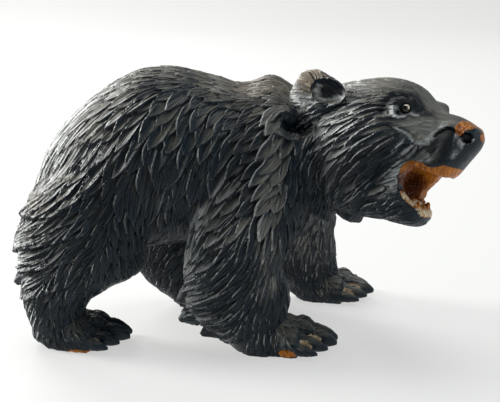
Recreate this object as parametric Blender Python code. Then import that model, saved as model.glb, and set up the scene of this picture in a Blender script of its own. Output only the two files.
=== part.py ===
# A carved wooden bear, walking, with its head turned to its right and its mouth open.
# The whole bear is one block of wood. Two glass beads are set in it as eyes.
# +X is the way the bear walks, +Y its left side, +Z up. The feet stand on z = 0.
import math

import bmesh
import bpy
import numpy as np
from mathutils import Matrix, Vector, kdtree

# Driving dimensions, in metres.
BEAR_LENGTH = 0.388
EYE_DIAMETER = 0.0082
EYE_GAP = 0.0003

# Every table below is in shares of the bear's length, about 1/388 of it each.
# How the figure is meshed, in the same unit.
RING_SIDES = 28
RINGS_BETWEEN = 4
FORM_VOXEL = 2.6
DETAIL_VOXEL = 1.7
FORM_SMOOTHING = 9
DETAIL_SMOOTHING = 2
WOOD_TRIANGLES = 7600

# The height of the ground the feet stand on.
GROUND = 5.5

# The head: where its middle is, and how it is turned, in degrees.
HEAD_CENTRE = (103, -27, 199)
HEAD_TURN = 36
HEAD_DIP = 5
HEAD_LEAN = 13

# Forms of the body. A row is x, y, z of the middle, then half the height and half the width across.
TORSO = [
    (-183, 0, 122, 20, 18),
    (-173, 0, 128, 40, 36),
    (-152, 0, 136, 59, 54),
    (-125, 0, 145, 72, 64),
    (-95, 0, 156, 77, 68),
    (-65, 0, 160, 76, 68),
    (-35, 0, 156, 73, 65),
    (-5, 0, 151, 71, 62),
    (20, 0, 156, 73, 60),
    (44, 0, 150, 61, 52),
    (62, -2, 145, 40, 38),
]
NECK = [
    (0, 0, 161, 60, 56),
    (28, -1, 165, 57, 54),
    (52, -6, 162, 52, 49),
    (78, -18, 162, 48, 44),
]
NEAR_HIND_LEG = [
    (-112, -38, 150, 50, 30),
    (-134, -44, 118, 55, 29),
    (-140, -47, 92, 54, 27),
    (-141, -48, 72, 51, 25),
    (-154, -48, 58, 39, 24),
    (-162, -47, 47, 29, 23),
    (-165, -46, 35, 25, 22),
    (-161, -46, 20, 22, 22),
    (-155, -45, 7, 15, 18),
]
FAR_HIND_LEG = [
    (-118, 38, 150, 46, 30),
    (-112, 45, 118, 50, 29),
    (-98, 51, 88, 44, 27),
    (-80, 55, 62, 38, 24),
    (-74, 57, 42, 32, 23),
    (-64, 58, 27, 30, 22),
    (-52, 58, 15, 26, 21),
    (-46, 58, 5, 20, 20),
]
NEAR_FRONT_LEG = [
    (10, -32, 178, 40, 26),
    (3, -46, 142, 42, 28),
    (-3, -53, 119, 43, 28),
    (-6, -57, 104, 44, 28),
    (-10, -59, 89, 43, 27),
    (-14, -60, 74, 41, 26),
    (-12, -60, 60, 42, 26),
    (-10, -60, 49, 44, 26),
    (-8, -59, 36, 39, 26),
    (-2, -58, 25, 33, 26),
    (8, -57, 13, 27, 25),
    (14, -56, 0, 21, 23),
]
FAR_FRONT_LEG = [
    (16, 34, 172, 38, 26),
    (27, 48, 138, 40, 28),
    (36, 60, 104, 38, 27),
    (42, 68, 76, 37, 26),
    (46, 74, 52, 36, 25),
    (54, 79, 32, 31, 24),
    (64, 82, 14, 25, 24),
    (68, 82, 0, 21, 22),
]

# Forms of the head, in the head's own frame: forward, left, up, then half the height and half the width.
CRANIUM = [
    (-54, 0, -24, 36, 34),
    (-32, 0, -28, 48, 43),
    (-6, 0, -26, 55, 47),
    (16, 0, -18, 51, 45),
    (36, 0, -8, 38, 37),
    (52, 0, -8, 27, 27),
    (62, 0, -9, 20, 22),
]
JAW = [
    (-8, 0, -56, 28, 40),
    (14, 0, -60, 24, 35),
    (34, 0, -63, 19, 28),
    (48, 0, -68, 15, 23),
    (60, 0, -71, 10.5, 17),
    (66, 0, -71, 6, 12),
]
# The muzzle is built upwards: forward, left, up, then half its length and half its width.
MUZZLE = [
    (56, 0, 12, 20, 10),
    (58, 0, 7, 33, 14.5),
    (60, 0, 0, 38.5, 17.5),
    (60, 0, -8, 38.5, 19),
    (58, 0, -17, 35.5, 20.5),
    (56, 0, -26, 32, 21.5),
    (55, 0, -34, 28.5, 21),
    (54, 0, -39, 25, 18),
]
# The webs of the cheeks, which join the jaws, left side.
CHEEK_WEB = [
    (54, 20, -30, 13, 6),
    (50, 21, -42, 13, 6),
    (44, 22, -54, 13, 6),
    (40, 21, -64, 12, 6),
]
# The open mouth: a notch in each cheek seen from the side (forward, up), and the hollow inside the lips.
NEAR_NOTCH = [
    (50, -44), (53, -37), (58, -33), (68, -36), (80, -38.5), (100, -44),
    (100, -62), (72, -62), (64, -63), (57, -60), (51, -51),
]
FAR_NOTCH = [
    (50, -54), (56, -46), (62, -38.5), (70, -37), (82, -38.5), (100, -44),
    (100, -62), (72, -62), (64, -63), (56, -63.5), (50, -61),
]
NOTCH_WIDTH = 40
MOUTH_HOLLOW = [
    (36, 0, -48, 7, 10),
    (46, 0, -49, 15, 15),
    (58, 0, -50, 18, 16),
    (70, 0, -50, 16, 15.5),
    (79, 0, -50, 14, 12),
]
TONGUE = [
    (34, 0, -66, 5, 12),
    (46, 0, -63.5, 4.5, 11),
    (57, 0, -65, 3.5, 8),
]
# Teeth: root and tip in the head's frame for the left side, and their thickness there.
TEETH = [
    ((60, 9, -66), (61, 9.5, -57), 3.2),
    ((62, 3.4, -66), (64, 3.6, -60), 2.6),
    ((51, 12, -64), (51, 12.5, -57), 2.8),
]

# Ears, left side in the head's frame. Each is a lobe with a scooped cup and a ditch behind it.
EAR_LOBE = [
    (-45, 28, -26, 12, 10),
    (-38, 37, -8, 21, 11),
    (-31, 43, 7, 25, 9.5),
    (-28, 46, 19, 20, 7.5),
    (-26, 47, 26, 11, 5),
]
EAR_CUP = ((-18, 51, 8), (14, 9, 9.5), 22)
EAR_DITCH = ((-41, 50, -22), (15, 15, 9), 0)

# A paw in its own frame: forward, left, up from the middle of the sole.
PAW_PAD = [
    (-24, 0, 13, 9, 15),
    (-8, 0, 11, 16, 23),
    (12, 0, 10, 17.5, 26),
    (25, 0, 8, 15, 26.5),
]
TOES = 5
TOE_SPREAD = 21
TOE_CURVE = 7
# A toe and its claw: forward, up, half thickness. The outer ones sit further back by TOE_CURVE.
TOE = [(18, 13, 8.6), (30, 15.5, 8.2), (38, 12.5, 6.8)]
CLAW = [(34, 10.5, 5.4), (42, 8.8, 6), (50, 6.8, 4.6), (57, 4, 1.5)]

# Each foot: the middle of its sole, and the way it points, in degrees from straight ahead.
FEET = {
    "near hind": (-157, -44, -8),
    "far hind": (-40, 58, -4),
    "near front": (18, -55, -12),
    "far front": (64, 82, -8),
}
BROKEN_CLAW = ("far front", 3)

# Tufts of fur that stand out of the outline: root, bend and tip, then half the height and half the
# thickness at the root.
TUFTS = [
    ((-138, -50, 146), (-166, -36, 137), (-188, -24, 124), 12, 9),
    ((-142, -56, 128), (-170, -44, 119), (-194, -32, 107), 12, 9),
    ((-142, -60, 108), (-174, -50, 101), (-203, -42, 89), 13, 9),
    ((-146, -60, 84), (-176, -54, 75), (-203, -48, 62), 13, 9),
    ((-138, 50, 146), (-164, 36, 136), (-186, 24, 122), 12, 9),
    ((-136, 56, 124), (-162, 48, 112), (-184, 38, 98), 12, 9),
    ((-112, 66, 104), (-136, 60, 93), (-157, 52, 82), 13, 10),
    ((-92, 70, 76), (-112, 65, 65), (-130, 58, 54), 12, 9),
    ((-20, -68, 70), (-42, -66, 59), (-65, -61, 45), 12, 9),
    ((-14, -68, 54), (-38, -66, 43), (-63, -61, 30), 12, 9),
    ((0, -68, 40), (-20, -66, 30), (-45, -61, 17), 11, 9),
    ((24, 78, 70), (4, 78, 58), (-19, 74, 45), 12, 9),
    ((30, 80, 54), (8, 80, 42), (-15, 75, 29), 12, 9),
    ((42, 84, 38), (22, 83, 28), (0, 78, 17), 11, 9),
    ((78, -34, 130), (86, -36, 120), (93, -35, 109), 13, 10),
    ((54, -30, 132), (61, -34, 121), (67, -36, 110), 11, 9),
]

# The nostrils, left side in the head's frame: the middle and the half sizes of each hollow.
NOSTRIL = ((90, 11.5, -4), (5.5, 4.5, 4.5))

# The eyes: forward and up in the head's frame, and how far the bead's middle lies under the skin.
EYE_PLACE = (40.4, 9)
EYE_DEPTH = 0.8

# Shaping by hand once the form is one skin: centre, reach, and how far the skin moves, out or in.
# These are in the head's frame for the left side, and each is made on the right side too.
HEAD_TOUCHES = [
    ((41, 31, 9), (13, 9, 10), -3.4),
    ((44, 26, 21), (17, 9, 8), 2.4),
    ((50, 27, 16), (12, 10, 9), 4.5),
    ((62, 18, -2), (14, 10, 7), -1.6),
    ((84, 19, -14), (10, 8, 12), -2.2),
    ((78, 20, -27), (16, 8, 7), 1.6),
    ((91, 9, 3), (8, 8, 5), 1.5),
    ((30, 36, -20), (18, 14, 16), 1.5),
]

# Which way the fur lies, by places on the right side: place, direction, and how deep it is cut, as a share.
FUR_FLOW = [
    ((-150, 0, 200), (-0.75, 0, -0.65), 0.8),
    ((-100, 0, 238), (-1, 0, -0.2), 0.8),
    ((-40, 0, 236), (-1, 0, -0.2), 0.8),
    ((20, 0, 228), (-1, 0, -0.2), 0.7),
    ((-150, -45, 170), (-0.45, 0, -0.9), 1.0),
    ((-100, -55, 190), (-0.5, 0, -0.85), 1.0),
    ((-50, -60, 190), (-0.45, 0, -0.9), 1.0),
    ((0, -60, 185), (-0.7, 0, -0.7), 1.0),
    ((28, -50, 190), (-0.4, 0, -0.9), 0.9),
    ((-172, -45, 130), (-0.7, 0, -0.7), 1.2),
    ((-130, -60, 140), (-0.55, 0, -0.85), 1.0),
    ((-80, -68, 145), (-0.25, 0, -1), 1.0),
    ((-40, -66, 145), (-0.25, 0, -1), 1.0),
    ((0, -62, 140), (-0.6, 0, -0.75), 1.0),
    ((35, -55, 140), (-0.15, 0, -1), 1.0),
    ((-180, -50, 100), (-0.95, 0, -0.3), 1.3),
    ((-140, -65, 100), (-0.8, 0, -0.6), 1.1),
    ((-100, -65, 100), (0.1, 0, -1), 1.0),
    ((-60, -60, 100), (0, 0, -1), 1.0),
    ((-20, -62, 100), (-0.7, 0, -0.7), 1.0),
    ((25, -62, 100), (-0.15, 0, -1), 1.0),
    ((-185, -55, 70), (-0.95, 0, -0.3), 1.3),
    ((-140, -65, 70), (-0.5, 0, -0.85), 1.0),
    ((-105, -60, 72), (0.3, 0, -1), 0.8),
    ((-180, -55, 40), (-0.5, 0, -0.85), 1.0),
    ((-150, -55, 40), (-0.1, 0, -1), 0.8),
    ((-120, -50, 20), (1, 0, -0.3), 0.4),
    ((-45, -65, 60), (-0.95, 0, -0.35), 1.2),
    ((0, -80, 60), (-0.6, 0, -0.8), 1.0),
    ((28, -70, 60), (-0.1, 0, -1), 0.9),
    ((-30, -65, 35), (-0.95, 0, -0.3), 1.1),
    ((10, -75, 35), (-0.3, 0, -0.95), 0.8),
    ((45, -60, 22), (1, 0, -0.3), 0.4),
    ((48, -45, 180), (-0.35, 0, -0.9), 1.0),
    ((60, -45, 145), (-0.25, 0, -0.95), 1.0),
    ((70, 0, 118), (0.1, 0, -1), 0.9),
    ((-60, 0, 85), (-1, 0, 0), 0.7),
]
# The same for the right side of the head, in the head's frame.
HEAD_FLOW = [
    ((14, 0, 31), (-1, 0, 0.05), 0.5),
    ((-20, 0, 22), (-1, 0, -0.1), 0.6),
    ((40, -14, 26), (-1, 0, 0.15), 0.35),
    ((40, -28, 8), (-1, 0, -0.2), 0.0),
    ((62, -18, 2), (-1, 0, -0.2), 0.0),
    ((80, -18, -16), (-1, 0, -0.5), 0.1),
    ((90, 0, 4), (-1, 0, 0), 0.0),
    ((98, 0, -10), (0, 0, -1), 0.0),
    ((50, -26, -22), (-0.75, 0, -0.65), 0.5),
    ((14, -42, 2), (-0.8, 0, -0.6), 1.0),
    ((-12, -46, -30), (-0.65, 0, -0.75), 1.1),
    ((26, -40, -30), (-0.75, 0, -0.65), 1.0),
    ((14, -38, -66), (-0.6, 0, -0.8), 1.1),
    ((44, -24, -72), (-0.85, 0, -0.5), 0.7),
    ((40, 0, -84), (-1, 0, 0), 0.8),
    ((62, 0, -66), (-1, 0, 0), 0.0),
    ((60, 0, -36), (-1, 0, 0), 0.0),
    ((-36, -50, 12), (-0.7, 0, 0.7), 0.7),
]
LOCK_LENGTH = 27
LOCK_WIDTH = 12.5
LOCK_DEPTH = 2.3
LOCK_SEED = 7


def spline_rows(rows, between):
    # A smooth run of rows through the given ones, by Catmull and Rom's formula.
    points = np.array(rows, float)
    padded = np.vstack([2 * points[0] - points[1], points, 2 * points[-1] - points[-2]])
    made = []
    for i in range(len(points) - 1):
        a, b, c, d = padded[i : i + 4]
        for t in np.arange(between) / between:
            bend = (2 * a - 5 * b + 4 * c - d) * t**2 + (3 * b - a - 3 * c + d) * t**3
            made.append(0.5 * (2 * b + (c - a) * t + bend))
    made.append(points[-1])
    return np.array(made)


def loft(rows, place=None, level=None, squareness=2.0, dome=0.45):
    # A closed form through oval sections, square to its path, or to the axis that level names.
    run = spline_rows(rows, RINGS_BETWEEN)
    run[:, 3:] = np.maximum(run[:, 3:], 0.3)
    tangents = np.gradient(run[:, :3], axis=0)
    if level is not None:
        tangents = np.sign(run[-1, level] - run[0, level]) * np.tile(np.eye(3)[level], (len(run), 1))
    tangents /= np.linalg.norm(tangents, axis=1)[:, None]
    angles = 2 * np.pi * np.arange(RING_SIDES) / RING_SIDES
    circle = np.array([np.cos(angles), np.sin(angles)])
    oval = (np.abs(circle) ** (2 / squareness) * np.sign(circle)).T
    mesh = bmesh.new()
    rings = []
    for row, tangent in zip(run, tangents):
        width_way = np.array((0, 1, 0)) - tangent * tangent[1]
        width_way /= np.linalg.norm(width_way)
        height_way = np.cross(tangent, width_way)
        points = [row[:3] + width_way * w * row[4] + height_way * h * row[3] for w, h in oval]
        rings.append([mesh.verts.new(point) for point in points])
    for low, high in zip(rings, rings[1:]):
        for k in range(RING_SIDES):
            n = (k + 1) % RING_SIDES
            mesh.faces.new((low[k], low[n], high[n], high[k]))
    for ring, row, way in ((rings[0], run[0], -tangents[0]), (rings[-1], run[-1], tangents[-1])):
        pole = mesh.verts.new(row[:3] + way * dome * min(row[3], row[4]))
        for k in range(RING_SIDES):
            mesh.faces.new((ring[k], ring[(k + 1) % RING_SIDES], pole))
    bmesh.ops.recalc_face_normals(mesh, faces=mesh.faces)
    if place is not None:
        bmesh.ops.transform(mesh, matrix=place, verts=mesh.verts)
    return mesh


def ball(centre, radii, turn=0.0, place=None):
    # An ellipsoid, turned about its own upright axis by turn degrees.
    matrix = Matrix.Translation(centre) @ Matrix.Rotation(math.radians(turn), 4, "Z")
    matrix = (place or Matrix()) @ matrix @ Matrix.Diagonal((*radii, 1))
    mesh = bmesh.new()
    bmesh.ops.create_icosphere(mesh, subdivisions=3, radius=1, matrix=matrix)
    return mesh


def notch(outline, start, end, place):
    # A side outline in the head's frame, carried through the head from start to end.
    mesh = bmesh.new()
    face = mesh.faces.new([mesh.verts.new((x, start, z)) for x, z in outline])
    raised = bmesh.ops.extrude_face_region(mesh, geom=[face])
    moved = [v for v in raised["geom"] if isinstance(v, bmesh.types.BMVert)]
    bmesh.ops.translate(mesh, verts=moved, vec=(0, end - start, 0))
    bmesh.ops.recalc_face_normals(mesh, faces=mesh.faces)
    bmesh.ops.transform(mesh, matrix=place, verts=mesh.verts)
    return mesh


def head_place():
    turn = Matrix.Rotation(math.radians(-HEAD_TURN), 4, "Z")
    dip = Matrix.Rotation(math.radians(HEAD_DIP), 4, "Y")
    lean = Matrix.Rotation(math.radians(-HEAD_LEAN), 4, "X")
    return Matrix.Translation(HEAD_CENTRE) @ turn @ dip @ lean


def on_side(point, side):
    return (point[0], point[1] * side, point[2])


def object_of(name, meshes):
    # One object from several bmesh forms, which may pass through each other.
    data = bpy.data.meshes.new(name)
    whole = bmesh.new()
    for mesh in meshes:
        mesh.to_mesh(data)
        whole.from_mesh(data)
        mesh.free()
    whole.to_mesh(data)
    whole.free()
    made = bpy.data.objects.new(name, data)
    bpy.context.scene.collection.objects.link(made)
    return made


def settle(obj):
    # Replaces the object's mesh by what its modifiers make of it.
    graph = bpy.context.evaluated_depsgraph_get()
    shaped = bpy.data.meshes.new_from_object(obj.evaluated_get(graph))
    obj.modifiers.clear()
    obj.data = shaped


def fuse(obj, voxel, smoothing):
    # Forms that pass through each other become one skin, softened where they meet.
    skin = obj.modifiers.new("one skin", "REMESH")
    skin.mode = "VOXEL"
    skin.voxel_size = voxel
    soften = obj.modifiers.new("soften", "SMOOTH")
    soften.factor = 0.5
    soften.iterations = smoothing
    settle(obj)


def cut(obj, cutters):
    for i, mesh in enumerate(cutters):
        cutter = object_of(f"cutter {i}", [mesh])
        away = obj.modifiers.new("cut", "BOOLEAN")
        away.operation = "DIFFERENCE"
        away.object = cutter
        settle(obj)
        bpy.data.objects.remove(cutter)


def body_forms(head):
    forms = [loft(form, level=0) for form in (TORSO, NECK)]
    forms += [loft(form, level=2) for form in (NEAR_HIND_LEG, FAR_HIND_LEG, NEAR_FRONT_LEG, FAR_FRONT_LEG)]
    forms += [loft(form, head, 0, 2.2) for form in (CRANIUM, JAW)]
    for side in (-1, 1):
        forms.append(loft([(x, y * side, z, h, w) for x, y, z, h, w in CHEEK_WEB], head, 2))
    forms.append(loft(MUZZLE, head, 2, 2.6, 0.1))
    return forms


def head_cutters(head):
    made = [notch(NEAR_NOTCH, -NOTCH_WIDTH, 1, head), notch(FAR_NOTCH, 0, NOTCH_WIDTH, head)]
    made.append(loft(MOUTH_HOLLOW, head, 0))
    for side in (-1, 1):
        made.append(ball(on_side(EAR_DITCH[0], side), EAR_DITCH[1], EAR_DITCH[2] * side, head))
    return made


def head_details(head):
    forms = [loft(TONGUE, head)]
    for side in (-1, 1):
        forms.append(loft([(x, y * side, z, h, w) for x, y, z, h, w in EAR_LOBE], head, 2))
        for root, tip, thick in TEETH:
            rows = [(*on_side(root, side), thick, thick), (*on_side(tip, side), 0.5, 0.5)]
            forms.append(loft(rows, head, dome=0.2))
    return forms


def paw_forms(name):
    x, y, heading = FEET[name]
    place = Matrix.Translation((x, y, GROUND)) @ Matrix.Rotation(math.radians(heading), 4, "Z")
    forms = [loft(PAW_PAD, place, 0, 2.3)]
    for toe in range(TOES):
        share = 2 * toe / (TOES - 1) - 1
        back = TOE_CURVE * share**2
        rows = [(f - back, share * TOE_SPREAD * (0.8 + f / 180), u, t, t * 0.86) for f, u, t in TOE]
        forms.append(loft(rows, place, 0))
        claw = CLAW[:2] if (name, toe) == BROKEN_CLAW else CLAW
        rows = [(f - back, share * TOE_SPREAD * (0.8 + f / 180), u, t, t * 0.8) for f, u, t in claw]
        forms.append(loft(rows, place, 0, dome=0.2))
    return forms


def tuft(root, bend, tip, half_height, half_thick):
    middle = (*bend, 0.8 * half_height, 0.85 * half_thick)
    rows = [(*root, half_height, half_thick), middle, (*tip, 0.8, 0.8)]
    return loft(rows, dome=0.2)


def coordinates(obj):
    points = np.empty(3 * len(obj.data.vertices), np.float32)
    obj.data.vertices.foreach_get("co", points)
    normals = np.empty(3 * len(obj.data.vertices), np.float32)
    obj.data.vertex_normals.foreach_get("vector", normals)
    return points.reshape(-1, 3).astype(float), normals.reshape(-1, 3).astype(float)


def put_back(obj, points):
    obj.data.vertices.foreach_set("co", points.astype(np.float32).ravel())
    obj.data.update()


def shape_by_touches(obj, head):
    points, normals = coordinates(obj)
    to_head = np.array(head.inverted())
    local = points @ to_head[:3, :3].T + to_head[:3, 3]
    moved = np.zeros(len(points))
    for centre, reach, out in HEAD_TOUCHES:
        for side in (-1, 1):
            far = (((local - on_side(centre, side)) / reach) ** 2).sum(1)
            moved += out * np.clip(1 - far, 0, 1) ** 2
    put_back(obj, points + normals * moved[:, None])


def fur_guides(head):
    # Every place with its direction and depth, on both sides, in the bear's frame.
    turn = head.to_3x3()
    guides = []
    for place, way, depth in FUR_FLOW:
        for side in (-1, 1):
            guides.append((on_side(place, -side), on_side(way, -side), depth))
    for place, way, depth in HEAD_FLOW:
        for side in (-1, 1):
            guides.append((head @ Vector(on_side(place, -side)), turn @ Vector(on_side(way, -side)), depth))
    places, ways, depths = zip(*guides)
    return np.array(places, float), np.array(ways, float), np.array(depths, float)


def fur_at(points, normals, guides):
    # The fur's direction along the skin and its depth, blended from the nearest places.
    places, ways, depths = guides
    along = np.empty_like(points)
    deep = np.empty(len(points))
    for start in range(0, len(points), 20000):
        piece = slice(start, start + 20000)
        away = ((points[piece, None, :] - places[None]) ** 2).sum(2)
        weight = 1 / (away + 40) ** 2
        weight /= weight.sum(1)[:, None]
        along[piece] = weight @ ways
        deep[piece] = weight @ depths
    along -= normals * (along * normals).sum(1)[:, None]
    along /= np.maximum(np.linalg.norm(along, axis=1), 1e-6)[:, None]
    return along, deep


def spread_seeds(points, spacing, seed):
    # Points of the skin, in a shuffled order, that keep about this distance from each other.
    order = np.random.default_rng(seed).permutation(len(points))
    cells = {}
    kept = []
    for i in order:
        x, y, z = (int(v) for v in points[i] // spacing)
        near = (cells.get((x + a, y + b, z + c)) for a in (-1, 0, 1) for b in (-1, 0, 1) for c in (-1, 0, 1))
        if all(other is None or np.sum((points[i] - points[other]) ** 2) > spacing**2 for other in near):
            cells[(x, y, z)] = i
            kept.append(i)
    return np.array(kept)


def carve_fur(obj, head):
    # Each lock is a shallow scoop, raised at its tip and along its edges, that overlaps the next one.
    points, normals = coordinates(obj)
    along, deep = fur_at(points, normals, fur_guides(head))
    seeds = spread_seeds(points, 0.62 * math.sqrt(LOCK_LENGTH * LOCK_WIDTH), LOCK_SEED)
    tree = kdtree.KDTree(len(seeds))
    for n, i in enumerate(seeds):
        tree.insert(points[i], n)
    tree.balance()
    nearest = np.array([[found[1] for found in tree.find_n(p, 6)] for p in points])
    best = np.full(len(points), np.inf)
    height = np.zeros(len(points))
    for column in nearest.T:
        i = seeds[column]
        offset = points - points[i]
        across = np.cross(normals[i], along[i])
        u = (offset * along[i]).sum(1) / (0.5 * LOCK_LENGTH)
        w = (offset * across).sum(1) / (0.5 * LOCK_WIDTH)
        apart = u**2 + w**2 + 4 * (1 - (normals * normals[i]).sum(1))
        lift = 0.45 * np.clip(u, -1, 1) + 0.4 * np.clip(w, -1.2, 1.2) ** 2 - 0.25
        closer = apart < best
        best[closer] = apart[closer]
        height[closer] = lift[closer]
    put_back(obj, points + normals * (LOCK_DEPTH * deep * height)[:, None])


def stand_flat(obj):
    # Cuts off what is below the ground, and closes each foot with a flat sole.
    mesh = bmesh.new()
    mesh.from_mesh(obj.data)
    everything = mesh.verts[:] + mesh.edges[:] + mesh.faces[:]
    plane = {"plane_co": (0, 0, GROUND), "plane_no": (0, 0, 1)}
    bmesh.ops.bisect_plane(mesh, geom=everything, dist=1e-4, clear_inner=True, **plane)
    bmesh.ops.holes_fill(mesh, edges=[edge for edge in mesh.edges if edge.is_boundary])
    bmesh.ops.triangulate(mesh, faces=mesh.faces)
    mesh.to_mesh(obj.data)
    mesh.free()


def level_soles(obj):
    points, _ = coordinates(obj)
    points[points[:, 2] < GROUND + 0.6, 2] = GROUND
    put_back(obj, points)


def tidy(obj):
    # Takes out faces without area, which the cuts leave, and keeps the skin closed.
    mesh = bmesh.new()
    mesh.from_mesh(obj.data)
    bmesh.ops.triangulate(mesh, faces=mesh.faces)
    bmesh.ops.dissolve_degenerate(mesh, dist=0.02, edges=mesh.edges)
    bmesh.ops.triangulate(mesh, faces=mesh.faces)
    mesh.to_mesh(obj.data)
    mesh.free()


def eye_centre(obj, head, side):
    # The bead's middle lies under the skin, straight in from the side of the head.
    forward, up = EYE_PLACE
    start = head @ Vector((forward, 80 * side, up))
    way = head.to_3x3() @ Vector((0, -side, 0))
    hit = obj.ray_cast(start, way)[1]
    return hit + way * EYE_DEPTH


def material(name, colour, roughness):
    made = bpy.data.materials.new(name)
    made.use_nodes = True
    made.diffuse_color = (*colour, 1)
    surface = made.node_tree.nodes["Principled BSDF"]
    surface.inputs["Base Color"].default_value = (*colour, 1)
    surface.inputs["Roughness"].default_value = roughness
    return made


def bead(centre, radius):
    mesh = bmesh.new()
    bmesh.ops.create_icosphere(mesh, subdivisions=3, radius=radius, matrix=Matrix.Translation(centre))
    return mesh


def to_real_size(made, share):
    # Into metres, with the middle of the footprint on the ground as the origin.
    points, _ = coordinates(made[0])
    middle = 0.5 * (points.min(0) + points.max(0))
    move = Matrix.Translation((-share * middle[0], -share * middle[1], -share * GROUND))
    for obj in made:
        obj.data.transform(move @ Matrix.Scale(share, 4))
        obj.data.update()


def build():
    for old in list(bpy.data.objects):
        bpy.data.objects.remove(old)
    head = head_place()
    bear = object_of("bear", body_forms(head))
    fuse(bear, FORM_VOXEL, FORM_SMOOTHING)
    cut(bear, head_cutters(head))
    details = head_details(head)
    for foot in FEET:
        details += paw_forms(foot)
    details += [tuft(*lock) for lock in TUFTS]
    extras = object_of("extras", details)
    whole = bmesh.new()
    whole.from_mesh(bear.data)
    whole.from_mesh(extras.data)
    whole.to_mesh(bear.data)
    whole.free()
    bpy.data.objects.remove(extras)
    fuse(bear, DETAIL_VOXEL, DETAIL_SMOOTHING)
    shape_by_touches(bear, head)
    eyes = [eye_centre(bear, head, side) for side in (1, -1)]
    carve_fur(bear, head)
    stand_flat(bear)
    fewer = bear.modifiers.new("fewer faces", "DECIMATE")
    fewer.ratio = WOOD_TRIANGLES / (2 * len(bear.data.vertices))
    settle(bear)
    level_soles(bear)
    for side in (-1, 1):
        cut(bear, [ball(on_side(EAR_CUP[0], side), EAR_CUP[1], EAR_CUP[2] * side, head)])
        cut(bear, [ball(on_side(NOSTRIL[0], side), NOSTRIL[1], 0, head)])
    share = BEAR_LENGTH / bear.dimensions.x
    radius = 0.5 * EYE_DIAMETER / share
    cut(bear, [bead(centre, radius + EYE_GAP / share) for centre in eyes])
    tidy(bear)
    beads = [object_of(name, [bead(eye, radius)]) for name, eye in zip(("eye_left", "eye_right"), eyes)]
    made = [bear, *beads]
    to_real_size(made, share)
    wood = material("wood", (0.035, 0.036, 0.038), 0.6)
    glass = material("eye_glass", (0.02, 0.012, 0.008), 0.08)
    for obj in made:
        obj.data.materials.clear()
        obj.data.materials.append(wood if obj is bear else glass)


build()
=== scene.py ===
import math

import bmesh
import bpy
import numpy as np
from mathutils import Matrix, Vector, kdtree


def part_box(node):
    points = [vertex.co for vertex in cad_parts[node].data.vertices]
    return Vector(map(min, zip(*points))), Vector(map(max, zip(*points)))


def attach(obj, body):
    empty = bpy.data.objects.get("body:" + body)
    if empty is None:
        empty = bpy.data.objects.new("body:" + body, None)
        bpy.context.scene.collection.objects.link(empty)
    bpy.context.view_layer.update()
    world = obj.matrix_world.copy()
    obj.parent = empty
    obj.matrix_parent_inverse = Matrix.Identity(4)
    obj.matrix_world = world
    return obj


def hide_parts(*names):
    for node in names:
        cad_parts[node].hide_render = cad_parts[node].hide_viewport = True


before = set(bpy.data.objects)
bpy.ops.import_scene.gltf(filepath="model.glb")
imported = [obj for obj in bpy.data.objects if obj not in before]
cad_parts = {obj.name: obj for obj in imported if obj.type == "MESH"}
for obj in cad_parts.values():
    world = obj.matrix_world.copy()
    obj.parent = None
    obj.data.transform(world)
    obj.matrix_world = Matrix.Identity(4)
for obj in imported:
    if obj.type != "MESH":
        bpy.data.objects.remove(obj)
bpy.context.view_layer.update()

# The tables below are in shares of the bear, one share being about a millimetre.
# x runs the way it walks, y to its left, z up.
placing = {
    "share": 0.00100496,
    "middle": (-8.365, 7.339),
    "ground": 5.5,
}

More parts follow.
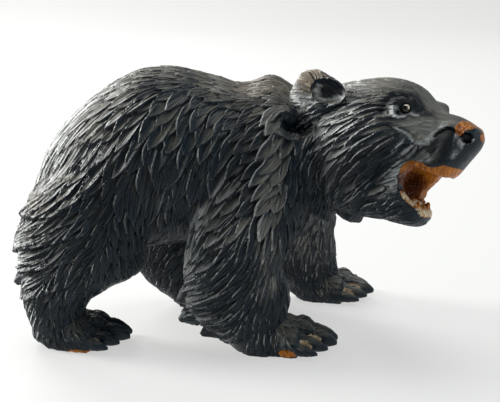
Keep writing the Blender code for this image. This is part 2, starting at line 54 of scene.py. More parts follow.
# x, y, z of the middle of each section, then half its height (or length) and half its width
body = {
    "torso": [
        (-183, 0, 122, 20, 18),
        (-173, 0, 128, 40, 36),
        (-152, 0, 136, 59, 54),
        (-125, 0, 145, 72, 64),
        (-95, 0, 156, 77, 68),
        (-65, 0, 160, 76, 68),
        (-35, 0, 156, 73, 65),
        (-5, 0, 151, 71, 62),
        (20, 0, 156, 73, 60),
        (44, 0, 150, 61, 52),
        (62, -2, 145, 40, 38),
    ],
    "neck": [
        (0, 0, 161, 60, 56),
        (28, -1, 165, 57, 54),
        (52, -6, 162, 52, 49),
        (78, -18, 162, 48, 44),
    ],
    "rightHindLeg": [
        (-112, -38, 150, 50, 30),
        (-134, -44, 118, 55, 29),
        (-140, -47, 92, 54, 27),
        (-141, -48, 72, 51, 25),
        (-154, -48, 58, 39, 24),
        (-162, -47, 47, 29, 23),
        (-165, -46, 35, 25, 22),
        (-161, -46, 20, 22, 22),
        (-155, -45, 7, 15, 18),
    ],
    "leftHindLeg": [
        (-118, 38, 150, 46, 30),
        (-112, 45, 118, 50, 29),
        (-98, 51, 88, 44, 27),
        (-80, 55, 62, 38, 24),
        (-74, 57, 42, 32, 23),
        (-64, 58, 27, 30, 22),
        (-52, 58, 15, 26, 21),
        (-46, 58, 5, 20, 20),
    ],
    "rightFrontLeg": [
        (10, -32, 178, 40, 26),
        (3, -46, 142, 42, 28),
        (-3, -53, 119, 43, 28),
        (-6, -57, 104, 44, 28),
        (-10, -59, 89, 43, 27),
        (-14, -60, 74, 41, 26),
        (-12, -60, 60, 42, 26),
        (-10, -60, 49, 44, 26),
        (-8, -59, 36, 39, 26),
        (-2, -58, 25, 33, 26),
        (8, -57, 13, 27, 25),
        (14, -56, 0, 21, 23),
    ],
    "leftFrontLeg": [
        (16, 34, 172, 38, 26),
        (27, 48, 138, 40, 28),
        (36, 60, 104, 38, 27),
        (42, 68, 76, 37, 26),
        (46, 74, 52, 36, 25),
        (54, 79, 32, 31, 24),
        (64, 82, 14, 25, 24),
        (68, 82, 0, 21, 22),
    ],
    "touches": [  # centre, reach, and how far the skin moves, out or in
        ((74, 74, 88), (18, 22, 15), 5.0),
        ((66, 74, 50), (16, 22, 14), -2.5),
        ((24, -60, 60), (16, 24, 12), 3.0),
        ((30, -58, 84), (16, 24, 12), -2.5),
        ((160, -42, 206), (15, 16, 9), 6.5),
        ((30, -40, 197), (13, 18, 14), 6.0),
    ],
    "ringSides": 36,
    "roughSkin": (2.6, 9),  # voxel, rounds of smoothing
    "fineSkin": (0.95, 3),
    "faces": 194000,
    "sharp": 38,  # degrees from which an edge is drawn sharp
}

# the head's own frame: forward, left, up; lists for one side are mirrored to the other
head = {
    "centre": (103, -27, 199),
    "turn": 36,
    "dip": 5,
    "lean": 13,
    "cranium": [
        (-54, 0, -24, 36, 34),
        (-32, 0, -28, 48, 43),
        (-6, 0, -26, 55, 47),
        (16, 0, -18, 51, 45),
        (36, 0, -8, 38, 37),
        (52, 0, -8, 27, 27),
        (62, 0, -9, 20, 22),
    ],
    "jaw": [
        (-8, 0, -56, 28, 40),
        (14, 0, -60, 24, 35),
        (34, 0, -63, 19, 28),
        (48, 0, -68, 15, 23),
        (60, 0, -71, 10.5, 17),
        (66, 0, -71, 6, 12),
    ],
    "muzzle": [
        (56, 0, 12, 20, 10),
        (58, 0, 7, 33, 14.5),
        (60, 0, 0, 38.5, 17.5),
        (60, 0, -8, 38.5, 19),
        (58, 0, -17, 35.5, 20.5),
        (56, 0, -26, 32, 21.5),
        (55, 0, -34, 28.5, 21),
        (54, 0, -39, 25, 18),
    ],
    "cheekWeb": [
        (54, 20, -30, 13, 6),
        (50, 21, -42, 13, 6),
        (44, 22, -54, 13, 6),
        (40, 21, -64, 12, 6),
    ],
    "rightNotch": [
        (47, -44), (49.5, -37), (55, -33), (66, -35.5), (80, -38.5), (100, -44),
        (100, -62), (72, -62), (64, -63), (56, -61), (49, -54),
    ],
    "leftNotch": [
        (50, -54), (56, -46), (62, -38.5), (70, -37), (82, -38.5), (100, -44),
        (100, -62), (72, -62), (64, -63), (56, -63.5), (50, -61),
    ],
    "rightNotchReach": (-40, 1),
    "leftNotchReach": (0, 40),
    "mouthHollow": [
        (36, 0, -48, 7, 10),
        (46, 0, -49, 15, 15),
        (58, 0, -50, 18, 16),
        (70, 0, -50, 16, 15.5),
        (79, 0, -50, 14, 12),
    ],
    "tongue": [
        (34, 0, -66, 5, 12),
        (46, 0, -63.5, 4.5, 11),
        (57, 0, -65, 3.5, 8),
    ],
    "teeth": [
        ((60, 9, -66), (61, 9.5, -61), 3.4),
        ((62, 3.4, -66), (63.5, 3.6, -63), 2.8),
        ((51, 12, -64), (51, 12.5, -60), 3),
    ],
    "earLobe": [
        (-45, 28, -26, 12, 10),
        (-38, 37, -8, 21, 11),
        (-31, 43, 7, 25, 9.5),
        (-30, 46, 17, 20.5, 8),
        (-33, 47, 21.5, 15, 6),
        (-34, 47, 24.5, 7, 4),
    ],
    "earCup": ((-18, 53.5, 10), (16.5, 11, 10.5), -20),
    "earDitch": ((-41, 50, -22), (15, 15, 9)),
    "nostril": ((90, 11.5, -4), (5.5, 4.5, 4.5)),
    "touches": [  # centre, reach, and how far the skin moves, out or in
        ((41, 31, 9), (13, 9, 10), -3.4),
        ((44, 26, 21), (17, 9, 8), 2.4),
        ((50, 27, 16), (12, 10, 9), 4.5),
        ((62, 18, -2), (14, 10, 7), -1.6),
        ((84, 19, -14), (10, 8, 12), -2.2),
        ((78, 20, -27), (16, 8, 7), 1.6),
        ((91, 9, 3), (8, 8, 5), 1.5),
        ((30, 36, -20), (18, 14, 16), 1.5),
    ],
}

paw = {
    "pad": [
        (-24, 0, 13, 9, 15),
        (-8, 0, 11, 16, 23),
        (12, 0, 10, 17.5, 26),
        (25, 0, 8, 15, 26.5),
    ],
    "toe": [(16, 13, 9), (28, 16, 8.6), (36, 13.5, 7)],  # forward, up, half thickness
    "claw": [(33, 11.5, 6.6), (41, 10.8, 7.8), (50, 9.2, 5.8), (57, 7.4, 2)],
    "web": [(26, 10, 5), (36, 10, 4.6), (43, 8, 3.6), (49, 5.6, 1.4)],  # between two claws
    "toes": 5,
    "spread": 21,
    "fanAtHeel": 0.8,  # share of the spread at the paw's middle, growing by 1 over the reach
    "fanReach": 180,
    "setBack": [14, 7, 1, 2, 7],  # toe by toe, from the paw's right to its left
    "toeSize": [0.66, 0.82, 1.04, 1.06, 0.84],
    "feet": {  # the middle of the sole, and the way it points
        "rightHind": (-157, -44, -8),
        "leftHind": (-40, 58, -4),
        "rightFront": (18, -55, -12),
        "leftFront": (64, 82, -8),
    },
    "brokenClaw": ("leftFront", 3),
}

# root, bend and tip, then half the height and half the thickness at the root
tufts = [
    ((-138, -50, 146), (-166, -36, 137), (-188, -24, 124), 12, 9),
    ((-142, -56, 128), (-170, -44, 119), (-194, -32, 107), 12, 9),
    ((-142, -60, 108), (-174, -50, 100), (-199, -42, 86), 13, 9),
    ((-146, -60, 84), (-176, -54, 74), (-198, -48, 60), 13, 9),
    ((-138, 50, 146), (-164, 36, 136), (-186, 24, 122), 12, 9),
    ((-136, 56, 124), (-162, 48, 112), (-184, 38, 98), 12, 9),
    ((-112, 66, 104), (-136, 60, 93), (-157, 52, 82), 13, 10),
    ((-92, 70, 76), (-112, 65, 65), (-130, 58, 54), 12, 9),
    ((-20, -68, 70), (-41, -66, 60), (-60, -61, 48), 13, 8),
    ((-14, -68, 54), (-37, -66, 43), (-59, -61, 31), 12, 8),
    ((0, -68, 40), (-21, -66, 30), (-41, -61, 18), 11, 8),
    ((24, 78, 70), (4, 78, 58), (-19, 74, 45), 12, 9),
    ((30, 80, 54), (8, 80, 42), (-15, 75, 29), 12, 9),
    ((42, 84, 38), (22, 83, 28), (0, 78, 17), 11, 9),
    ((78, -34, 130), (86, -36, 120), (93, -35, 109), 13, 10),
    ((54, -30, 132), (61, -34, 121), (67, -36, 110), 11, 9),
]


def smoothRun(rows, between=5):
    points = np.array(rows, float)
    padded = np.vstack([2 * points[0] - points[1], points, 2 * points[-1] - points[-2]])
    run = []
    for i in range(len(points) - 1):
        a, b, c, d = padded[i : i + 4]
        for t in np.arange(between) / between:
            bend = (2 * a - 5 * b + 4 * c - d) * t**2 + (3 * b - a - 3 * c + d) * t**3
            run.append(0.5 * (2 * b + (c - a) * t + bend))
    run.append(points[-1])
    return np.array(run)


def ovalLoft(rows, place=None, level=None, squareness=2.0, dome=0.45):
    # closed form through oval sections, square to its path or to the axis named by level
    run = smoothRun(rows)
    run[:, 3:] = np.maximum(run[:, 3:], 0.3)
    tangents = np.gradient(run[:, :3], axis=0)
    if level is not None:
        tangents = np.sign(run[-1, level] - run[0, level]) * np.tile(np.eye(3)[level], (len(run), 1))
    tangents /= np.linalg.norm(tangents, axis=1)[:, None]
    sides = body["ringSides"]
    angles = 2 * np.pi * np.arange(sides) / sides
    circle = np.array([np.cos(angles), np.sin(angles)])
    oval = (np.abs(circle) ** (2 / squareness) * np.sign(circle)).T
    mesh = bmesh.new()
    rings = []
    for row, tangent in zip(run, tangents):
        widthWay = np.array((0, 1, 0)) - tangent * tangent[1]
        widthWay /= np.linalg.norm(widthWay)
        heightWay = np.cross(tangent, widthWay)
        corners = [row[:3] + widthWay * w * row[4] + heightWay * h * row[3] for w, h in oval]
        rings.append([mesh.verts.new(corner) for corner in corners])
    for low, high in zip(rings, rings[1:]):
        for k in range(sides):
            n = (k + 1) % sides
            mesh.faces.new((low[k], low[n], high[n], high[k]))
    for ring, row, way in ((rings[0], run[0], -tangents[0]), (rings[-1], run[-1], tangents[-1])):
        pole = mesh.verts.new(row[:3] + way * dome * min(row[3], row[4]))
        for k in range(sides):
            mesh.faces.new((ring[k], ring[(k + 1) % sides], pole))
    bmesh.ops.recalc_face_normals(mesh, faces=mesh.faces)
    if place is not None:
        bmesh.ops.transform(mesh, matrix=place, verts=mesh.verts)
    return mesh


def ball(centre, radii, place):
    matrix = place @ Matrix.Translation(centre) @ Matrix.Diagonal((*radii, 1))
    mesh = bmesh.new()
    bmesh.ops.create_icosphere(mesh, subdivisions=4, radius=1, matrix=matrix)
    return mesh


def sideNotch(outline, start, end, place):
    mesh = bmesh.new()
    face = mesh.faces.new([mesh.verts.new((x, start, z)) for x, z in outline])
    raised = bmesh.ops.extrude_face_region(mesh, geom=[face])
    moved = [v for v in raised["geom"] if isinstance(v, bmesh.types.BMVert)]
    bmesh.ops.translate(mesh, verts=moved, vec=(0, end - start, 0))
    bmesh.ops.recalc_face_normals(mesh, faces=mesh.faces)
    bmesh.ops.transform(mesh, matrix=place, verts=mesh.verts)
    return mesh


def onSide(point, side):
    return (point[0], point[1] * side, point[2])


def rowsOnSide(rows, side):
    return [(x, y * side, z, h, w) for x, y, z, h, w in rows]


def inScene(name, data):
    made = bpy.data.objects.new(name, data)
    bpy.context.scene.collection.objects.link(made)
    return made


def meshOf(name, mesh):
    data = bpy.data.meshes.new(name)
    mesh.to_mesh(data)
    mesh.free()
    return data


def objectOf(name, meshes):
    data = bpy.data.meshes.new(name)
    whole = bmesh.new()
    for mesh in meshes:
        mesh.to_mesh(data)
        whole.from_mesh(data)
        mesh.free()
    whole.to_mesh(data)
    whole.free()
    return inScene(name, data)


def settle(obj):
    graph = bpy.context.evaluated_depsgraph_get()
    shaped = bpy.data.meshes.new_from_object(obj.evaluated_get(graph))
    obj.modifiers.clear()
    obj.data = shaped


def fuse(obj, voxel, smoothing):
    skin = obj.modifiers.new("one skin", "REMESH")
    skin.mode = "VOXEL"
    skin.voxel_size = voxel
    soften = obj.modifiers.new("soften", "SMOOTH")
    soften.factor = 0.5
    soften.iterations = smoothing
    settle(obj)


def cutAway(obj, meshes):
    for mesh in meshes:
        cutter = objectOf("cutter", [mesh])
        away = obj.modifiers.new("cut", "BOOLEAN")
        away.operation = "DIFFERENCE"
        away.object = cutter
        settle(obj)
        bpy.data.objects.remove(cutter)


def join(obj, other):
    whole = bmesh.new()
    whole.from_mesh(obj.data)
    whole.from_mesh(other.data)
    whole.to_mesh(obj.data)
    whole.free()
    bpy.data.objects.remove(other)


def coordinates(mesh):
    points = np.empty(3 * len(mesh.vertices), np.float32)
    mesh.vertices.foreach_get("co", points)
    normals = np.empty(3 * len(mesh.vertices), np.float32)
    mesh.vertex_normals.foreach_get("vector", normals)
    return points.reshape(-1, 3).astype(float), normals.reshape(-1, 3).astype(float)


def putBack(mesh, points):
    mesh.vertices.foreach_set("co", points.astype(np.float32).ravel())
    mesh.update()


def shadeSmooth(mesh):
    for polygon in mesh.polygons:
        polygon.use_smooth = True


def ramp(value, edge, width):
    # 0 up to the edge, rising to 1 over the width beyond it
    return np.clip((value - edge) / width, 0, 1)


def unit(vectors):
    return vectors / np.maximum(np.linalg.norm(vectors, axis=-1), 1e-9)[..., None]


turnedHead = (
    Matrix.Translation(head["centre"])
    @ Matrix.Rotation(math.radians(-head["turn"]), 4, "Z")
    @ Matrix.Rotation(math.radians(head["dip"]), 4, "Y")
    @ Matrix.Rotation(math.radians(-head["lean"]), 4, "X")
)
toHead = np.array(turnedHead.inverted())


def inHeadFrame(points):
    return points @ toHead[:3, :3].T + toHead[:3, 3]


def pawPlace(foot):
    x, y, heading = paw["feet"][foot]
    return Matrix.Translation((x, y, placing["ground"])) @ Matrix.Rotation(math.radians(heading), 4, "Z")


def toeRows(rows, back, across, big, flat):
    # sections of a toe, a claw or the wood between two claws
    fan = across * paw["spread"]
    start, reach = paw["fanAtHeel"], paw["fanReach"]
    return [(f - back, fan * (start + f / reach), u * big, t * big, t * flat) for f, u, t in rows]


def betweenToes(toe):
    # for the gap beyond this toe: how far across, how far set back, and the smaller toe's size
    across = (2 * toe + 1) / (paw["toes"] - 1) - 1
    back = 0.5 * (paw["setBack"][toe] + paw["setBack"][toe + 1])
    return across, back, min(paw["toeSize"][toe : toe + 2])


def pawForms(foot):
    place = pawPlace(foot)
    forms = [ovalLoft(paw["pad"], place, 0, 2.3)]
    for toe in range(paw["toes"]):
        across = 2 * toe / (paw["toes"] - 1) - 1
        back, big = paw["setBack"][toe], paw["toeSize"][toe]
        claw = paw["claw"][:2] if (foot, toe) == paw["brokenClaw"] else paw["claw"]
        for rows, dome, flat in ((paw["toe"], 0.3, 0.74), (claw, 0.2, 0.62)):
            forms.append(ovalLoft(toeRows(rows, back, across, big, flat), place, 0, dome=dome))
    for toe in range(paw["toes"] - 1):
        across, back, big = betweenToes(toe)
        forms.append(ovalLoft(toeRows(paw["web"], back, across, big, 0.7), place, 0, dome=0.2))
    return forms


def tuftForm(root, bend, tip, halfHeight, halfThick):
    late = [0.45 * x + 0.55 * y for x, y in zip(bend, tip)]
    rows = [
        (*root, halfHeight, halfThick),
        (*bend, 0.85 * halfHeight, 0.85 * halfThick),
        (*late, 0.6 * halfHeight, 0.5 * halfThick),
        (*tip, 2.0, 1.5),
    ]
    return ovalLoft(rows, dome=0.2)


# The wood before the fur is cut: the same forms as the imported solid
forms = [ovalLoft(body[name], level=0) for name in ("torso", "neck")]
for name in ("rightHindLeg", "leftHindLeg", "rightFrontLeg", "leftFrontLeg"):
    forms.append(ovalLoft(body[name], level=2))
forms += [ovalLoft(head[name], turnedHead, 0, 2.2) for name in ("cranium", "jaw")]
forms += [ovalLoft(rowsOnSide(head["cheekWeb"], side), turnedHead, 2) for side in (-1, 1)]
forms.append(ovalLoft(head["muzzle"], turnedHead, 2, 2.6, 0.1))
bear = objectOf("carvedBear", forms)
fuse(bear, *body["roughSkin"])
cutAway(bear, [
    sideNotch(head["rightNotch"], *head["rightNotchReach"], turnedHead),
    sideNotch(head["leftNotch"], *head["leftNotchReach"], turnedHead),
    ovalLoft(head["mouthHollow"], turnedHead, 0),
])
ditch, radii = head["earDitch"]
cutAway(bear, [ball(onSide(ditch, side), radii, turnedHead) for side in (-1, 1)])
details = [ovalLoft(head["tongue"], turnedHead)]
for side in (-1, 1):
    details.append(ovalLoft(rowsOnSide(head["earLobe"], side), turnedHead, 2))
    for root, tip, thick in head["teeth"]:
        rows = [(*onSide(root, side), thick, thick), (*onSide(tip, side), 1.5, 1.3)]
        details.append(ovalLoft(rows, turnedHead, dome=0.2))
for foot in paw["feet"]:
    details += pawForms(foot)
details += [tuftForm(*tuft) for tuft in tufts]
join(bear, objectOf("details", details))
fuse(bear, *body["fineSkin"])
print("wood roughed out:", len(bear.data.vertices), "points")

# How the fur lies: place, way, then length, width and depth of one cut lock. Made on both sides.
fur = {
    "body": [
        ((-150, 0, 200), (-0.75, 0, -0.65), 40, 5, 0.8),
        ((-100, 0, 238), (-1, 0, -0.2), 26, 7.5, 1.2),
        ((-40, 0, 236), (-1, 0, -0.2), 24, 9, 1.3),
        ((20, 0, 228), (-1, 0, -0.2), 24, 7, 1.1),
        ((-150, -45, 170), (-0.5, 0, -0.85), 44, 5.5, 1.2),
        ((-100, -55, 190), (-0.5, 0, -0.85), 30, 9.5, 2.2),
        ((-50, -60, 190), (-0.45, 0, -0.9), 27, 11, 2.4),
        ((0, -60, 185), (-0.7, 0, -0.7), 26, 10, 2.2),
        ((28, -50, 190), (-0.4, 0, -0.9), 24, 11, 2.2),
        ((-172, -45, 130), (-0.75, 0, -0.65), 46, 5.5, 1.9),
        ((-130, -60, 140), (-0.55, 0, -0.85), 34, 9, 2.2),
        ((-80, -68, 145), (-0.25, 0, -1), 34, 11.5, 2.5),
        ((-40, -66, 145), (-0.25, 0, -1), 36, 13, 2.5),
        ((0, -62, 140), (-0.7, 0, -0.6), 27, 9, 2.2),
        ((35, -55, 140), (-0.2, 0, -1), 26, 9, 2.0),
        ((-180, -50, 100), (-0.95, 0, -0.3), 46, 5.5, 1.9),
        ((-140, -65, 100), (-0.8, 0, -0.6), 44, 5.5, 1.8),
        ((-100, -65, 100), (0.1, 0, -1), 30, 7, 1.8),
        ((-60, -60, 100), (0, 0, -1), 30, 10, 2.0),
        ((-20, -62, 100), (-0.75, 0, -0.6), 26, 8, 2.0),
        ((25, -62, 100), (-0.05, 0, -1), 36, 5.5, 1.5),
        ((-185, -55, 70), (-0.95, 0, -0.3), 42, 5.5, 1.8),
        ((-140, -65, 70), (-0.5, 0, -0.85), 30, 6, 1.7),
        ((-105, -60, 72), (0.3, 0, -1), 24, 6, 1.4),
        ((-180, -55, 40), (-0.5, 0, -0.85), 26, 6, 1.6),
        ((-150, -55, 40), (-0.1, 0, -1), 24, 6, 1.3),
        ((-45, -65, 60), (-0.95, 0, -0.3), 42, 5, 1.6),
        ((-15, -75, 66), (-0.85, 0, -0.55), 42, 5, 1.5),
        ((4, -82, 60), (-0.5, 0, -0.85), 40, 4.6, 1.3),
        ((28, -70, 60), (-0.05, 0, -1), 34, 4.6, 1.2),
        ((14, -84, 90), (-0.25, 0, -1), 40, 5, 1.5),
        ((-30, -65, 35), (-0.95, 0, -0.3), 30, 6, 2.0),
        ((10, -75, 35), (-0.3, 0, -0.95), 22, 6, 1.3),
        ((48, -45, 180), (-0.35, 0, -0.9), 24, 9, 2.2),
        ((60, -45, 145), (-0.25, 0, -0.95), 26, 12, 2.8),
        ((70, 0, 118), (0.1, 0, -1), 28, 12, 2.6),
        ((-60, 0, 85), (-1, 0, 0), 24, 9, 1.4),
    ],
    "leftOnly": [
        ((-112, 70, 90), (-0.8, 0, -0.55), 26, 7, 1.8),
        ((-84, 74, 62), (-0.7, 0, -0.7), 24, 6, 1.6),
        ((-60, 70, 45), (-0.3, 0, -0.95), 20, 5, 1.3),
        ((30, 84, 66), (-0.8, 0, -0.6), 24, 6, 1.6),
        ((66, 84, 60), (-0.1, 0, -1), 20, 6, 1.4),
        ((58, 60, 40), (-0.3, 0, -0.95), 20, 6, 1.4),
    ],
    "head": [
        ((14, 0, 31), (-1, 0, 0.05), 28, 6, 0.5),
        ((-20, 0, 22), (-1, 0, -0.1), 26, 7, 0.9),
        ((40, -14, 26), (-1, 0, 0.15), 26, 7, 0.4),
        ((40, -28, 8), (-1, 0, -0.2), 16, 6, 0.0),
        ((62, -18, 2), (-1, 0, -0.2), 16, 6, 0.0),
        ((80, -18, -16), (-1, 0, -0.5), 16, 6, 0.0),
        ((90, 0, 4), (-1, 0, 0), 16, 6, 0.0),
        ((98, 0, -10), (0, 0, -1), 16, 6, 0.0),
        ((50, -26, -22), (-0.75, 0, -0.65), 22, 6, 0.5),
        ((14, -42, 2), (-0.8, 0, -0.6), 30, 6, 1.6),
        ((-12, -46, -30), (-0.65, 0, -0.75), 32, 6.5, 2.0),
        ((26, -40, -30), (-0.75, 0, -0.65), 30, 6, 1.8),
        ((14, -38, -66), (-0.6, 0, -0.8), 26, 10, 2.4),
        ((44, -24, -72), (-0.85, 0, -0.5), 18, 6, 1.0),
        ((40, 0, -84), (-1, 0, 0), 20, 7, 1.0),
        ((62, 0, -66), (-1, 0, 0), 16, 6, 0.0),
        ((60, 0, -36), (-1, 0, 0), 16, 6, 0.0),
        ((-16, -54, 26), (0.1, 0, 1), 12, 5, 0.9),
        ((-30, -54, 24), (-0.6, 0, 0.8), 16, 5, 0.9),
        ((-44, -49, 12), (-1, 0, 0.1), 20, 4.6, 0.8),
        ((-44, -46, -2), (-1, 0, -0.2), 20, 4.6, 0.8),
        ((-44, -42, -14), (-0.9, 0, -0.3), 16, 5, 1.2),
    ],
    "paw": [  # forward, left and up in the paw's frame, then length, width and depth
        ((20, 0, 30), 13, 5, 1.2),
        ((34, 0, 22), 11, 4.5, 0.7),
        ((50, 16, 6), 10, 5, 0.0),
        ((50, -16, 6), 10, 5, 0.0),
        ((56, 0, 6), 10, 5, 0.0),
    ],
    "candidates": 70000,
    "batch": 20000,
    "blend": 40,  # how softly one guide gives way to the next
    "closeAlong": 0.46,  # shares of a lock's length, of its width, and a depth, that keep the next one off
    "closeAcross": 0.74,
    "closeDeep": 6,
    "farthest": 14,
    "swing": 0.11,
    "sizes": (0.82, 1.2),
    "overlap": 1.12,
    "tilt": 0.3,
    "taper": (0.1, 1.7),  # a lock narrows from this share before its middle, by this power
    "root": 0.1,  # height at the root, as a share of that at the tip, and the power by which it grows
    "rise": 1.2,
    "halfReach": 9,  # a lock shows this far above and below its place, on skin that faces its way
    "facing": 0.15,
    "cell": 10,
    "wall": 3.0,
    "lift": 1.55,
    "scooped": 0.5,
    "shoulderLine": [
        (22, 236), (19.5, 228), (15.5, 205), (11, 190), (9, 165), (8, 145), (9.6, 114), (9.6, 92),
    ],
    "shoulderStep": 2.2,
    "shoulderFade": 26,
    "shoulderReach": {"middle": (6, 12), "low": (92, 16), "high": (208, 18)},  # edge, soft width
    "leastDepth": 0.15,
    "sunk": 0.62,
    "evenedRounds": 24,
    "seed": 7,
}


def furGuides():
    turn = turnedHead.to_3x3()
    guides = [(place, way, size) for place, way, *size in fur["leftOnly"]]
    for place, way, *size in fur["body"]:
        guides += [(onSide(place, side), onSide(way, side), size) for side in (1, -1)]
    for place, way, *size in fur["head"]:
        for side in (1, -1):
            guides.append((turnedHead @ Vector(onSide(place, side)), turn @ Vector(onSide(way, side)), size))
    for foot in paw["feet"]:
        place = pawPlace(foot)
        for where, *size in fur["paw"]:
            guides.append((place @ Vector(where), place.to_3x3() @ Vector((1, 0, -0.3)), size))
    places, ways, sizes = zip(*guides)
    return np.array(places, float), np.array(ways, float), np.array(sizes, float)


def furAt(points, normals):
    # the way of the fur along the skin and the size of its locks, blended from the guides
    places, ways, sizes = furGuides()
    along = np.empty_like(points)
    size = np.empty((len(points), 3))
    for start in range(0, len(points), fur["batch"]):
        piece = slice(start, start + fur["batch"])
        away = ((points[piece, None, :] - places[None]) ** 2).sum(2)
        weight = 1 / (away + fur["blend"]) ** 2
        weight /= weight.sum(1)[:, None]
        along[piece] = weight @ ways
        size[piece] = weight @ sizes
    along -= normals * (along * normals).sum(1)[:, None]
    return unit(along), size


def byCell(points, size):
    cells, which = np.unique(np.floor(points / size).astype(int), axis=0, return_inverse=True)
    which = which.ravel()
    groups = np.split(np.argsort(which, kind="stable"), np.cumsum(np.bincount(which))[:-1])
    return {tuple(cell): group for cell, group in zip(cells.tolist(), groups)}


def beside(line, points):
    # distance from an open line drawn in the side view: positive to the left of its run
    x, z = points[:, 0], points[:, 2]
    best = np.full(len(x), np.inf)
    side = np.ones(len(x))
    for (x0, z0), (x1, z1) in zip(line, line[1:]):
        runX, runZ = x1 - x0, z1 - z0
        t = np.clip(((x - x0) * runX + (z - z0) * runZ) / (runX**2 + runZ**2), 0, 1)
        far = np.hypot(x - x0 - t * runX, z - z0 - t * runZ)
        closer = far < best
        best[closer] = far[closer]
        side[closer] = np.sign(runX * (z - z0) - runZ * (x - x0))[closer]
    return best * side


def cellsRound(cell, steps):
    # this cell and those up to so many steps away
    x, y, z = (int(v) for v in cell)
    span = range(-steps, steps + 1)
    return [(x + a, y + b, z + c) for a in span for b in span for c in span]


def placeLocks(points, normals, along, size):
    # places for the locks in a shuffled order, closer across the fur than along it
    random = np.random.default_rng(fur["seed"])
    order = random.permutation(len(points))[: fur["candidates"]]
    cells = {}
    kept = []
    for i in order:
        here = points[i] // fur["farthest"]
        near = [k for cell in cellsRound(here, 1) for k in cells.get(cell, ())]
        if near:
            offset = points[near] - points[i]
            u = offset @ along[i] / (fur["closeAlong"] * size[i, 0])
            w = offset @ np.cross(normals[i], along[i]) / (fur["closeAcross"] * size[i, 1])
            deep = offset @ normals[i] / fur["closeDeep"]
            if (u * u + w * w + deep * deep).min() < 1:
                continue
        cells.setdefault(tuple(int(v) for v in here), []).append(i)
        kept.append(i)
    kept = np.array(kept)
    swing = random.normal(0, fur["swing"], len(kept))[:, None]
    way = along[kept] * np.cos(swing) + np.cross(normals[kept], along[kept]) * np.sin(swing)
    varied = random.uniform(*fur["sizes"], (len(kept), 3))
    ahead = beside(fur["shoulderLine"], points[kept])
    reach = fur["shoulderReach"]
    onFlank = ramp(np.abs(points[kept, 1]), *reach["middle"]) * ramp(points[kept, 2], *reach["low"])
    onFlank *= 1 - ramp(points[kept, 2], *reach["high"])
    fade = np.clip(1 - ahead / fur["shoulderFade"], 0, 1)
    raised = fur["shoulderStep"] * onFlank * np.where(ahead > 0, fade, 0)
    return {
        "place": points[kept],
        "normal": normals[kept],
        "way": way,
        "halfLength": 0.5 * size[kept, 0] * varied[:, 0],
        "halfWidth": 0.5 * size[kept, 1] * varied[:, 1] * fur["overlap"],
        "depth": fur["lift"] * size[kept, 2] * varied[:, 2],
        "raised": raised,
        "tilt": random.uniform(-fur["tilt"], fur["tilt"], len(kept)),
        "chance": random.uniform(0, 1, len(kept)),
    }


def onLock(locks, n, points, along):
    # where points lie on lock n: from -1 at its root to 1 at its tip, and as far to its sides
    offset = points - locks["place"][n]
    chord = unit(along + locks["way"][n])
    u = (offset * chord).sum(1) / locks["halfLength"][n]
    w = (offset * np.cross(locks["normal"][n], chord)).sum(1) / locks["halfWidth"][n]
    return u, w


def lockHeight(locks, n, points, along, normals):
    # how high lock n stands there: thin at its root, scooped between its sides, steep beyond its edge
    u, w = onLock(locks, n, points, along)
    early, power = fur["taper"]
    taper = 1 - np.clip((u + early) / (1 + early), 0, 1) ** power
    outside = np.maximum(np.abs(w) - taper, 0) * locks["halfWidth"][n]
    outside += np.maximum(np.abs(u) - 1, 0) * locks["halfLength"][n]
    leaf = fur["root"] + (1 - fur["root"]) * np.clip(0.5 * (u + 1), 0, 1) ** fur["rise"]
    leaf += fur["scooped"] * np.minimum(np.abs(w), 1.2) ** 2
    leaf += locks["tilt"][n] * np.clip(w, -1.2, 1.2)
    height = locks["raised"][n] + locks["depth"][n] * leaf - fur["wall"] * outside
    up = locks["normal"][n]
    apart = (np.abs((points - locks["place"][n]) @ up) > fur["halfReach"]) | (normals @ up < fur["facing"])
    height[apart] = -np.inf
    return height


def highestLock(locks, points, along, normals):
    # locks lie over each other like shingles: the highest one shows
    # how low a lock may lie and still show
    lowest = -40.0
    cells = byCell(points, fur["cell"])
    best = np.full(len(points), lowest)
    winner = np.full(len(points), -1)
    for n, place in enumerate(locks["place"]):
        reach = locks["halfLength"][n] + 2
        steps = math.ceil(reach / fur["cell"])
        found = [cells.get(cell) for cell in cellsRound(place // fur["cell"], steps)]
        near = np.concatenate([group for group in found if group is not None])
        near = near[np.abs(points[near] - place).max(1) < reach]
        height = lockHeight(locks, n, points[near], along[near], normals[near])
        higher = height > best[near]
        best[near[higher]] = height[higher]
        winner[near[higher]] = n
    return best, winner


def shapeByTouches(mesh):
    points, normals = coordinates(mesh)
    local = inHeadFrame(points)
    moved = np.zeros(len(points))
    for centre, reach, out in body["touches"]:
        moved += out * np.clip(1 - (((points - centre) / reach) ** 2).sum(1), 0, 1) ** 2
    for centre, reach, out in head["touches"]:
        for side in (-1, 1):
            far = (((local - onSide(centre, side)) / reach) ** 2).sum(1)
            moved += out * np.clip(1 - far, 0, 1) ** 2
    putBack(mesh, points + normals * moved[:, None])


def hollow(points, centre, radii, inward):
    # skin inside an ellipsoid sinks along inward until it lies on the ellipsoid's far side
    offset = (points - centre) / radii
    way = inward / radii
    inside = (offset**2).sum(1) < 1
    a = way @ way
    b = offset @ way
    c = (offset**2).sum(1) - 1
    far = (-b + np.sqrt(np.maximum(b * b - a * c, 0))) / a
    return points + np.where(inside, far, 0)[:, None] * inward


def scoop(points, centre, radii, turn, inward):
    # the same in the head's frame, for a hollow turned about its own upright axis
    place = turnedHead @ Matrix.Translation(centre) @ Matrix.Rotation(math.radians(turn), 4, "Z")
    there = np.array(place.inverted())
    back = np.array(place)
    way = there[:3, :3] @ np.array(turnedHead.to_3x3()) @ np.array(inward, float)
    local = hollow(points @ there[:3, :3].T + there[:3, 3], np.zeros(3), np.array(radii, float), way)
    return local @ back[:3, :3].T + back[:3, 3]


